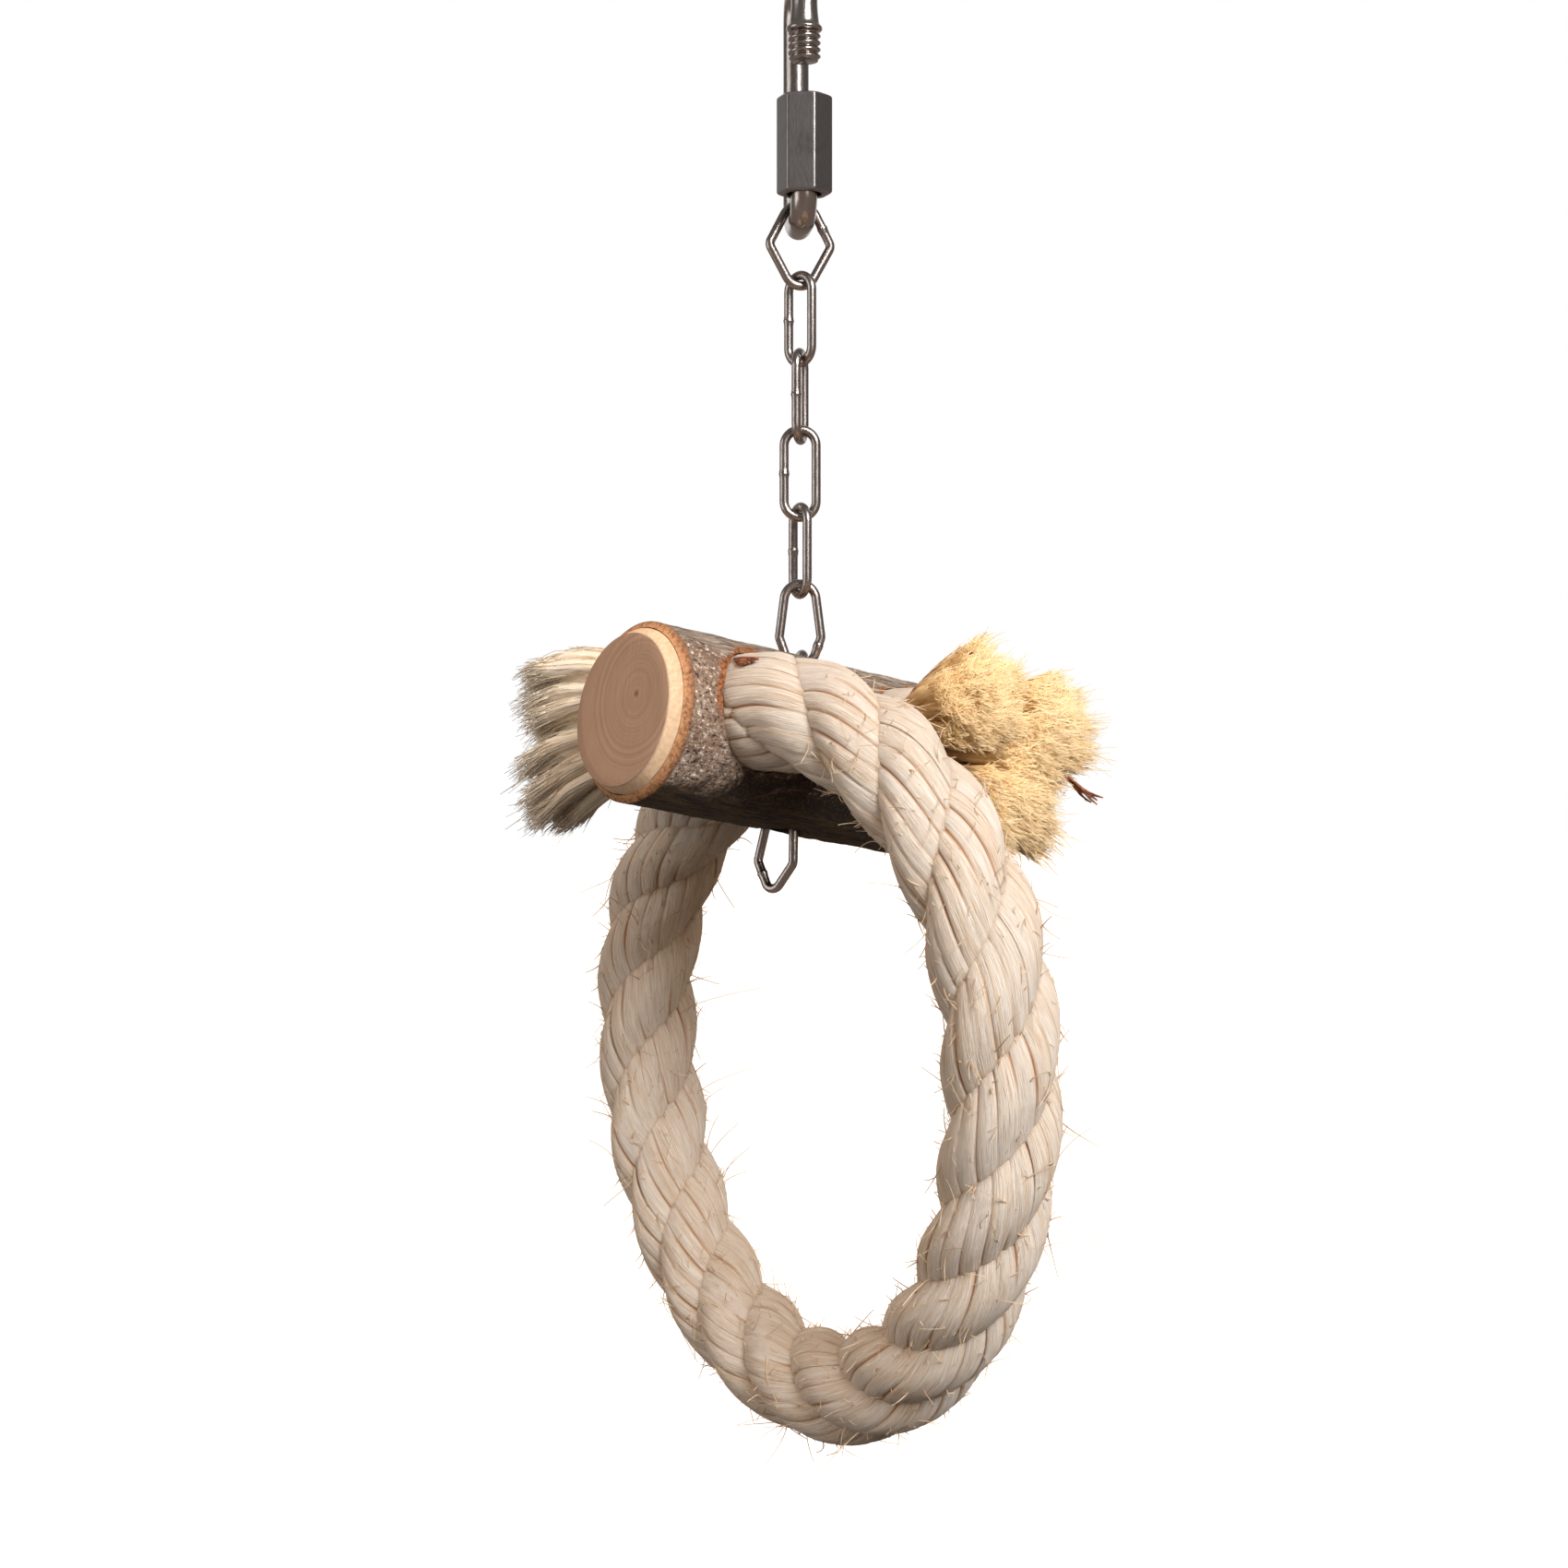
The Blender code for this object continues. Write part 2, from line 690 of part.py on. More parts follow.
def hidden_chain(material, swing, hook, turn):
    """Links 7 to 9, along the bore: two inside the branch, and the opened one that stops it.

    hook is the centre of the wire that the first of them hangs on.
    """
    tilt = Matrix.Rotation(BRANCH_TILT, 3, "Y")
    step = link_step(HIDDEN_LINK_LENGTH, WIRE_RADIUS)
    stop = link_circles(OPENED_INNER_LENGTH, WIRE_RADIUS, STOP_LINK_WIDTH, STOP_LINK_SHOULDER)
    plain = link_circles(HIDDEN_LINK_LENGTH, WIRE_RADIUS)
    for order, circles in enumerate((plain, plain, stop)):
        index = UPPER_LINKS + order
        turn += LINK_TURNS[index]
        place = hook + tilt @ Vector((0, 0, -step * order))
        name = f"chain_link_{index + 1}"
        link = chain_link(name, circles, WELD_RUNS[index], material, swing, place, 0)
        link.rotation_euler = (tilt @ Matrix.Rotation(turn, 3, "Z")).to_euler()
    return seat_half_width(stop, STOP_LINK_SEAT), tilt


def build():
    clear_scene()
    rod_steel = finish("quick_link_steel", (0.42, 0.39, 0.36), 0.2, 1)
    nut_steel = finish("nut_steel", (0.3, 0.28, 0.27), 0.34, 1)
    chain_steel = finish("chain_steel", (0.5, 0.46, 0.43), 0.22, 1)
    wood_finish = finish("sawn_wood", (0.42, 0.27, 0.18), 0.7, 0)
    bark_finish = finish("bark", (0.2, 0.16, 0.12), 0.9, 0)
    sisal = [finish(f"sisal_{n + 1}", (0.72, 0.6 - 0.01 * n, 0.44), 0.75, 0) for n in range(STRANDS)]
    frayed = finish("frayed_sisal", (0.78, 0.6, 0.34), 0.8, 0)

    body, nut_top = quick_link(rod_steel)
    quick_link_nut(nut_steel, body, nut_top)
    last_link, place = chain(chain_steel, body)

    # The branch rocks about the top wire of the link inside it
    swing = bpy.data.objects.new("swing_pivot", None)
    bpy.context.collection.objects.link(swing)
    turn = QUICK_LINK_TURN + sum(LINK_TURNS[:UPPER_LINKS])
    hook = Vector((0, 0, -CHAIN_WIRE - GAP))
    swing.parent = last_link
    swing.location = place - hook
    swing.rotation_euler = (0, 0, -turn)

    half_seat, tilt = hidden_chain(chain_steel, swing, hook, turn)
    chain_bore = 2 * (half_seat + GAP)
    bore_offset = chain_bore / 2 + BORE_WALL + ROPE_BORE / 2
    centre = hook + tilt @ Vector((0, 0, TOP_LINK_SINK - BRANCH_RADIUS))
    bore_centre = centre + tilt @ Vector((0, 0, BORE_RISE))
    along = branch(wood_finish, bark_finish, swing, centre, bore_centre, chain_bore, bore_offset)
    stations = even_stations(rope_route(along))
    rope(sisal, swing, bore_centre, stations)
    frayed_ends(frayed, swing, bore_centre, stations, bore_offset)
    bpy.context.view_layer.update()


build()
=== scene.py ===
"""Looks of the sisal ring bird swing: its rope, frayed ends, branch, chain and quick link."""

from collections import namedtuple
from math import acos, atan2, ceil, cos, exp, pi, radians, sin, sqrt, tan, tau

import bpy
import numpy as np
from mathutils import Matrix, Vector, noise

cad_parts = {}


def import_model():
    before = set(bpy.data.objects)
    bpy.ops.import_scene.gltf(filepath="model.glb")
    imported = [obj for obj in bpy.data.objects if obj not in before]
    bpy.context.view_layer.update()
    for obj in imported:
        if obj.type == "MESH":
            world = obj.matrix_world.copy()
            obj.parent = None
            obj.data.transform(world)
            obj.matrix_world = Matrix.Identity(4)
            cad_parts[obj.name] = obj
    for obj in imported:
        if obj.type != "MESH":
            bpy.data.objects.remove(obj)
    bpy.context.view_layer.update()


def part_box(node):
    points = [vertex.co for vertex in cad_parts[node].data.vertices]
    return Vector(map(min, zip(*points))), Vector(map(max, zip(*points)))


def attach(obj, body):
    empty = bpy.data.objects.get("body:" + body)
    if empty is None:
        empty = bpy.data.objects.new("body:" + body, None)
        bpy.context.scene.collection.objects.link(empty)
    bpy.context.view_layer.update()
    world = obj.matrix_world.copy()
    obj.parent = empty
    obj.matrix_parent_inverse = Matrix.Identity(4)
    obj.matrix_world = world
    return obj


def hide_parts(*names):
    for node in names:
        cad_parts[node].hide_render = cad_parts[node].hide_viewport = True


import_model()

# View and stage: lengths in metres, angles in radians, and the sensor in millimetres

IMAGE_PIXELS = 1700
FOCAL_PIXELS = 2990
SENSOR = 36.0
CLIP_START = 0.01
VIEW_AZIMUTH = radians(-38)
VIEW_RIGHT = (cos(VIEW_AZIMUTH), sin(VIEW_AZIMUTH), 0.0)
VIEW_AHEAD = (-sin(VIEW_AZIMUTH), cos(VIEW_AZIMUTH), 0.0)
VIEW_DISTANCE = 0.74
VIEW_HEIGHT = -0.2107
VIEW_LEFT_OF_CHAIN = 0.00433
LAMP_AIM = (0.0, 0.0, -0.2)
FLOOR_HEIGHT = -0.9
FLOOR_HALF_WIDTH = 30.0
FLOOR_GLOW = 0.45
WHITE = (1.0, 1.0, 1.0, 1.0)

# Sizes and counts repeated from the part, in metres and radians

GAP = 0.0003
QUICK_LINK_ROD = 0.007
QUICK_LINK_INNER_LENGTH = 0.057
QUICK_LINK_INNER_WIDTH = 0.015
QUICK_LINK_BEND = 0.008
QUICK_LINK_TURN = radians(-122.5)
THREAD_DIAMETER = 0.0087
COLLAR_DIAMETER = 0.0096
COLLAR_HEIGHT = 0.0012
NECK_DIAMETER = 0.0082
UPPER_THREAD_LENGTH = 0.008
MOUTH_TOP_DROP = 0.0105
NUT_ACROSS_FLATS = 0.013
NUT_LENGTH = 0.0258
NUT_CHAMFER = 0.0008
NUT_TOP = -0.029
STUB_BELOW_NUT_TOP = 0.0005
NUT_TURN = radians(16)
CHAIN_WIRE = 0.0025
LINK_INNER_LENGTH = 0.021
LINK_INNER_WIDTH = 0.0061
OPENED_INNER_LENGTH = 0.0191
OPENED_BEND = 0.0022
TOP_LINK_WIDTH = 0.0192
TOP_LINK_SHOULDER = 0.0094
STOP_LINK_WIDTH = 0.0136
STOP_LINK_SHOULDER = 0.0128
HIDDEN_LINK_LENGTH = 0.021225
LINK_TURNS = tuple(radians(turn) for turn in (100, -60, -60, -76, 116, 64, -75, -75, 117))
UPPER_LINKS = 6
BRANCH_RADIUS = 0.024
BRANCH_TILT = radians(9)
BRANCH_HALF_LENGTH = 0.05449
BARK_THICKNESS = 0.0021
END_BEVEL_LENGTH = 0.0042
END_BEVEL_DEPTH = 0.0052
CHAIN_BORE = 0.012376
ROPE_BORE = 0.031
BORE_OFFSET = 0.025488
BORE_RISE = 0.004
ROPE_RADIUS = 0.015
ROPE_LAY = 0.078
ROPE_CLEARANCE = 0.0005
ROPE_STANDOFF = 0.004
RING_HALF_WIDTH = 0.0905
RING_SHOULDER_DROP = 0.07
RING_DROP = 0.1765
RING_LEAN = radians(3.2)
RING_EASE = -0.3
BACK_TUFT_LENGTH = 0.047
FRONT_TUFT_LENGTH = 0.039
STRANDS = 3

# Sizes, counts and shares of the fine detail, in metres and radians

SHARP_ANGLE = radians(50)
STRAND_SEED = 60
STRAND_RADIUS = 0.0096
YARNS = 12
YARN_STOPS = (0.0, 0.06, 0.2, 0.5, 0.8, 0.94)
YARN_RELIEF = 0.0009
YARN_SLANT = radians(3)
YARN_WANDER = 0.1
YARN_BUMP = 0.0003
FIBRE_BUMP = 0.0006
BORE_SQUEEZE = 0.8
BORE_SQUEEZE_END = 0.07
BORE_SQUEEZE_EASE = 0.018
END_ROUNDING = 0.0045
ROPE_ROWS = 455
RING_SAMPLES = 160
LOOSE_SEED = 11
LOOSE_FIBRES = 2200
LOOSE_ROWS = (ROPE_ROWS * 7 // 60, ROPE_ROWS * 53 // 60)
LOOSE_LENGTHS = (0.0015, 0.014)
LOOSE_RADII = (0.0001, 0.00022)
TUFT_SEED = 40
TUFT_RADII = (0.0001, 0.00021)
TUFT_FILL = 0.98
TUFT_FLARE = 0.65
CORE_COLUMNS = 16
BITS_SEED = 5
BITS = 4
STICK_PLACE = (0.04, -0.0616, -0.2088)
STICK_LENGTH = 0.0112
STICK_THICKNESS = 0.0009
STICK_JITTER = 0.0006
SPLINTER_START = (-0.0363, -0.0186, -0.1788)
SPLINTER_END = (-0.0372, -0.0301, -0.1793)
SPLINTER_STEP = (-0.00056, 0.0, -0.00042)
SPLINTER_THICKNESS = 0.0013
SPECK_HEIGHT = -0.321
SPECK_LENGTH = 0.003
SPECK_THICKNESS = 0.0016
SPECK_SINK = 0.0004
THREAD_PITCH = 0.0018
THREAD_DEPTH = 0.0008
THREAD_ROW = 0.00012
WIRE_SIDES = 20
ROD_SIDES = 48
COLLAR_ROWS = 9
BEND_ROWS = 17
NUT_COLUMNS = 144
NUT_SHARPNESS = 60
NUT_CHAMFER_ROWS = 8
NUT_END_INSET = 0.0003
ARC_STEP = radians(6)
FOOT_BEND = 0.0024
WELD_RUNS = (3, 0, 1, 1, 0, 2, 0, 1, 1)
WELD_ROWS = 15
WELD_SWELL = 0.15
WELD_LENGTH = 0.0016
BRANCH_COLUMNS = 160
BARK_ROWS = 150
BARK_INNER_ROWS = 12
BARK_SINK = 0.0003
BARK_RELIEF = 0.0005
BARK_EDGE = 0.0016
BARK_STREAK_BUMP = 0.0005
BARK_CRUST_BUMP = 0.0009
# painted shade: how the darkened lower zone rises along the branch
BARK_STAIN_AND_SHADE_SLOPE = -0.24
BORE_COLUMNS = 96
BORE_REACH = 0.05
BORE_RAGGEDNESS = 0.0005
PITH = (0.0, -0.0044, 0.004)
PITH_FADE = (0.0012, 0.0004)
FACE_ROWS = 8
FACE_RADIUS = 0.0201
FACE_OFFSET = 0.0013
FACE_MIDDLE = 0.0004
FACE_ROUNDING = 0.0004
FACE_STEP = 0.0001
SAP_EDGE = 0.0006
SAW_BUMP = 0.0001

# Shares of a frayed strand's length, from the rope's end to the tips

TUFT_ROOT = -0.08
TUFT_HEART = 0.4
CORE_SHOULDER = 0.55
CORE_DOME = 0.3

# Where the bark's looks start and are full: heights over its axis, and reach from a rope bore

TOP_STREAKS = (0.013, 0.02)
# painted shade, partly stain: where the bark darkens below its axis
LOW_STAIN_AND_SHADE = (-0.003, -0.011)
# painted shade: where near-black stripes darken the underside
FOOT_SHADE_STRIPES = (-0.017, -0.02)
TORN_REACH = (0.0168, 0.0156)
TORN_HEIGHTS = (-0.002, 0.004)

QUICK_LINK_LIMB = (QUICK_LINK_INNER_WIDTH + QUICK_LINK_ROD) / 2
SWIVEL = Matrix.Rotation(QUICK_LINK_TURN, 3, "Z")
WIRE_RADIUS = CHAIN_WIRE / 2
LINK_BEND = LINK_INNER_WIDTH / 2 + WIRE_RADIUS
STRAND_LIFT = ROPE_RADIUS - YARN_RELIEF - STRAND_RADIUS
BRANCH_CENTRE = sum(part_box("branch_wood"), Vector()) / 2
TILT = Matrix.Rotation(BRANCH_TILT, 3, "Y")
BORE_CENTRE = BRANCH_CENTRE + TILT @ Vector((0, 0, BORE_RISE))


# Mesh helpers


def grid_faces(rows, columns, closed_rows=False):
    """Quads of a grid whose columns close round, and whose rows may close too."""
    row = np.arange(rows if closed_rows else rows - 1)[:, None]
    column = np.arange(columns)[None, :]
    after = (column + 1) % columns
    here = row * columns
    above = (row + 1) % rows * columns
    quads = (here + column, here + after, above + after, above + column)
    return np.stack(quads, axis=-1).reshape(-1, 4).tolist()


def tube_faces(rows, columns):
    """Quads of a grid whose columns close round, and a face across each of its ends."""
    last = (rows - 1) * columns
    caps = [list(range(columns))[::-1], list(range(last, last + columns))]
    return grid_faces(rows, columns) + caps


def even_angles(count):
    return tau * np.arange(count) / count


def on_circle(angles):
    return np.stack((np.cos(angles), np.sin(angles)), axis=-1)


def at_height(flat, height):
    return np.column_stack((flat, np.full(len(flat), height)))


def add_object(name, data):
    item = bpy.data.objects.new(name, data)
    bpy.context.scene.collection.objects.link(item)
    return item


def add_piece(name, points, faces, material, body, nodes=(), attributes=None):
    """A smooth mesh piece that rides on a body and may stand for nodes of the frame."""
    mesh = bpy.data.meshes.new(name)
    mesh.from_pydata(np.asarray(points, float).reshape(-1, 3).tolist(), [], faces)
    for key, values in (attributes or {}).items():
        layer = mesh.attributes.new(key, "FLOAT_VECTOR", "POINT")
        layer.data.foreach_set("vector", np.asarray(values, np.float32).ravel())
    mesh.validate()
    mesh.shade_smooth()
    mesh.set_sharp_from_angle(angle=SHARP_ANGLE)
    mesh.materials.append(material)
    piece = add_object(name, mesh)
    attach(piece, body)
    if nodes:
        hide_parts(*nodes)
    return piece


def joined(*bundles):
    """One set of points, faces and marks from several."""
    points, faces, marks = zip(*bundles)
    moved = []
    start = 0
    for own_points, own_faces in zip(points, faces):
        moved += [[index + start for index in face] for face in own_faces]
        start += len(own_points)
    return np.concatenate(points), moved, np.concatenate(marks)


def unit(vectors):
    return vectors / np.maximum(np.linalg.norm(vectors, axis=-1, keepdims=True), 1e-12)


def fibre_mesh(paths, radii, sides=3):
    """Points and faces of fibres along paths (fibre, step, xyz), with radii (fibre, step)."""
    count, steps, _ = paths.shape
    along = unit(np.gradient(paths, axis=1))
    helper = np.where(np.abs(along[..., :1]) < 0.8, (1.0, 0.0, 0.0), (0.0, 1.0, 0.0))
    across = unit(np.cross(along, helper))
    other = np.cross(along, across)
    angles = even_angles(sides)[:, None]
    spokes = np.cos(angles) * across[:, :, None] + np.sin(angles) * other[:, :, None]
    points = paths[:, :, None] + radii[:, :, None, None] * spokes
    first = np.arange(count)[:, None] * steps * sides
    side = np.arange(sides)
    after = (side + 1) % sides
    low = (first + np.arange(steps - 1) * sides)[..., None]
    quads = np.stack((low + side, low + after, low + sides + after, low + sides + side), axis=-1)
    roots = first + side[::-1]
    tips = first + (steps - 1) * sides + side
    return points.reshape(-1, 3), quads.reshape(-1, 4).tolist() + roots.tolist() + tips.tolist()


# Material helpers


def colour(red, green, blue):
    """A linear colour from values on a screen's scale of 0 to 255."""
    shares = [value / 255 for value in (red, green, blue)]
    linear = [s / 12.92 if s <= 0.04045 else ((s + 0.055) / 1.055) ** 2.4 for s in shares]
    return (*linear, 1.0)


def changed(item, settings):
    """The item, with its settings changed."""
    for key, value in settings.items():
        setattr(item, key, value)
    return item


def fill(item, values):
    """Sets inputs of a node, to constants or to links from outputs."""
    for key, value in values.items():
        if isinstance(value, bpy.types.NodeSocket):
            item.id_data.links.new(value, item.inputs[key])
        else:
            item.inputs[key].default_value = value


def new_material(name, values):
    """A material, and its shader with some inputs set."""
    material = bpy.data.materials.new(name)
    material.use_nodes = True
    shader = material.node_tree.nodes["Principled BSDF"]
    fill(shader, values)
    return material, shader


def new_node(tree, kind, settings):
    return changed(tree.nodes.new("ShaderNode" + kind), settings)


def source(shader, kind, **settings):
    """The outputs of a node without inputs, in a shader's tree."""
    return new_node(shader.id_data, kind, settings).outputs


def node(kind, values, **settings):
    """A node in the tree that its linked inputs come from."""
    links = [value for value in values.values() if isinstance(value, bpy.types.NodeSocket)]
    item = new_node(links[0].id_data, kind, settings)
    fill(item, values)
    return item


def mix(factor, first, second):
    return node("Mix", {0: factor, 6: first, 7: second}, data_type="RGBA").outputs[2]


def calculate(operation, first, second=0.0):
    return node("Math", {0: first, 1: second}, operation=operation).outputs[0]


def tinted(factor, under, tint, share):
    """A colour that takes a share of a tint as the factor goes to 1."""
    return mix(calculate("MULTIPLY", factor, share), under, tint)


def ramp(factor, *stops):
    """A colour that follows a factor through stops of (position, red, green, blue)."""
    item = node("ValToRGB", {"Fac": factor})
    elements = item.color_ramp.elements
    while len(elements) < len(stops):
        elements.new(1.0)
    for element, (position, *shade) in zip(elements, stops):
        element.position = position
        element.color = colour(*shade)
    return item.outputs["Color"]


def level(factor, low, high):
    """The factor stretched so that low becomes 0 and high becomes 1."""
    values = {"Value": factor, "From Min": low, "From Max": high}
    return node("MapRange", values, clamp=True).outputs["Result"]


def stretched(vector, scale):
    return node("Mapping", {"Vector": vector, "Scale": scale}).outputs["Vector"]


def grain(vector, scale, detail=3.0, roughness=0.55, distortion=0.0):
    values = {"Vector": vector, "Scale": scale, "Detail": detail}
    values |= {"Roughness": roughness, "Distortion": distortion}
    return node("TexNoise", values).outputs["Fac"]


def relief(shader, height, distance, below=None):
    """Adds a bump to the shader, on top of another one."""
    values = {"Height": height, "Distance": distance}
    if below is not None:
        values["Normal"] = below
    normal = node("Bump", values).outputs["Normal"]
    fill(shader, {"Normal": normal})
    return normal


def attribute(shader, name):
    return source(shader, "Attribute", attribute_name=name)["Vector"]


def parts_of(vector):
    return node("SeparateXYZ", {0: vector}).outputs


def object_place(shader):
    return source(shader, "TexCoord")["Object"]


# Materials


def rope_material():
    """Laid sisal: pale fibres along each yarn, and painted shade in the creases between yarns and
    the grooves between strands, partly the fibre's own tan.
    """
    values = {"Roughness": 0.62, "Sheen Weight": 0.15, "Sheen Roughness": 0.5}
    material, shader = new_material("rope_sisal", values)
    lines = attribute(shader, "yarn_place")
    tone, crest, crown = parts_of(attribute(shader, "yarn_form"))
    fine = grain(stretched(lines, (5200, 110, 1)), 1.0, 4.0, 0.65)
    broad = grain(stretched(lines, (700, 45, 1)), 1.0, 2.0)
    pale = ramp(fine, (0.36, 208, 174, 138), (0.49, 242, 227, 207), (0.62, 254, 248, 240))
    warm = tinted(level(broad, 0.45, 0.75), pale, colour(214, 178, 136), 0.5)
    varied = tinted(tone, warm, colour(253, 247, 240), 0.45)
    # painted shade: the creases between yarns darkened to tan and brown, partly the fibre's own tan
    creased_with_painted_shade = mix(level(crest, 0.75, 0.1), varied, colour(186, 134, 84))
    # painted shade: the grooves between strands darkened, partly their own tan
    grooved_with_painted_shade = mix(level(crown, 0.3, -0.1), creased_with_painted_shade, colour(184, 142, 98))
    fill(shader, {"Base Color": grooved_with_painted_shade})
    relief(shader, fine, FIBRE_BUMP, relief(shader, broad, YARN_BUMP))
    return material


def straw_material(name, root, middle, tip):
    """Loose sisal fibre, in screen colours from its root to its tip, darker towards the root with
    painted shade as deep inside a tuft.
    """
    values = {"Roughness": 0.6, "Sheen Weight": 0.2, "Sheen Roughness": 0.4}
    material, shader = new_material(name, values)
    fibre = attribute(shader, "fibre")
    tone, along, _ = parts_of(fibre)
    # painted shade: the fibre darkens towards its root
    shade = ramp(along, (0.0, *root), (0.45, *middle), (1.0, *tip))
    dark = colour(*root)
    streak = grain(stretched(fibre, (9, 2.5, 26)), 1.0, 3.0)
    lined = tinted(level(streak, 0.55, 0.35), shade, dark, 0.7)
    varied = mix(tone, mix(0.4, lined, dark), lined)
    patch = grain(object_place(shader), 260.0, 2.0)
    mottled = tinted(level(patch, 0.35, 0.7), varied, colour(*tip), 0.35)
    fill(shader, {"Base Color": mottled})
    return material


def steel_material(name, tint, roughness, scratch):
    """Worn steel: a slightly uneven tint and fine marks."""
    material, shader = new_material(name, {"Roughness": roughness, "Metallic": 1.0})
    place = object_place(shader)
    cloud = grain(place, 160.0, 3.0)
    marks = grain(stretched(place, (2600, 2600, 500)), 1.0, 3.0)
    stained = tinted(level(cloud, 0.55, 0.8), tint, colour(60, 52, 48), 0.25)
    values = {"Value": marks, "To Min": roughness - 0.06, "To Max": roughness + 0.1}
    uneven = node("MapRange", values).outputs["Result"]
    fill(shader, {"Base Color": stained, "Roughness": uneven})
    relief(shader, marks, scratch)
    return material


def branch_place(shader):
    """Places in the branch's own axes, in metres from its middle."""
    place = object_place(shader)
    values = {"Vector": place, "Location": BRANCH_CENTRE, "Rotation": (0, BRANCH_TILT, 0)}
    return node("Mapping", values, vector_type="TEXTURE").outputs["Vector"]


def bore_distance(x, z):
    """Distance from the nearer rope bore's axis."""
    offset = calculate("SUBTRACT", calculate("ABSOLUTE", x), BORE_OFFSET)
    height = calculate("SUBTRACT", z, BORE_RISE)
    squares = [calculate("POWER", side, 2.0) for side in (offset, height)]
    return calculate("SQRT", calculate("ADD", *squares))


def swayed(value, wave, amount):
    """The value with an amount of a noise added, which is about 0.5 in its middle."""
    sway = calculate("MULTIPLY", calculate("SUBTRACT", wave, 0.5), amount)
    return calculate("ADD", value, sway)


def wood_material():
    """Sawn wood: faint growth rings on the ends, and paler sapwood on the bevels."""
    material, shader = new_material("wood", {"Roughness": 0.72})
    place = branch_place(shader)
    values = {"Vector": place, "Location": PITH}
    pith = node("Mapping", values, vector_type="TEXTURE").outputs["Vector"]
    section = stretched(pith, (0, 1, 1))
    away = node("VectorMath", {0: section}, operation="LENGTH").outputs["Value"]
    wobble = grain(place, 90.0, 2.0)
    rings = []
    for pace, sway in ((900.0, 0.8), (2600.0, 1.6)):
        across = swayed(calculate("MULTIPLY", away, pace), wobble, sway)
        values = {"W": across, "Scale": 1.0, "Detail": 2.0}
        rings.append(node("TexNoise", values, noise_dimensions="1D").outputs["Fac"])
    ringed = mix(0.4, *rings)
    heart = ramp(ringed, (0.34, 164, 130, 107), (0.5, 176, 142, 118), (0.66, 183, 150, 126))
    cored = mix(level(away, *PITH_FADE), heart, colour(116, 86, 66))
    cloud = tinted(level(wobble, 0.35, 0.7), cored, colour(150, 112, 84), 0.2)
    saw = grain(stretched(place, (1, 2600, 90)), 1.0, 2.0)
    sawn = tinted(level(saw, 0.5, 0.8), cloud, colour(235, 215, 190), 0.12)
    spokes = grain(stretched(place, (300, 900, 900)), 1.0, 3.0)
    sap = ramp(spokes, (0.3, 221, 184, 146), (0.7, 239, 212, 178))
    far = calculate("ABSOLUTE", parts_of(place)[0])
    on_face = level(far, BRANCH_HALF_LENGTH - SAP_EDGE, BRANCH_HALF_LENGTH - FACE_STEP)
    shown = mix(on_face, sap, sawn)
    fill(shader, {"Base Color": shown})
    relief(shader, saw, SAW_BUMP)
    return material


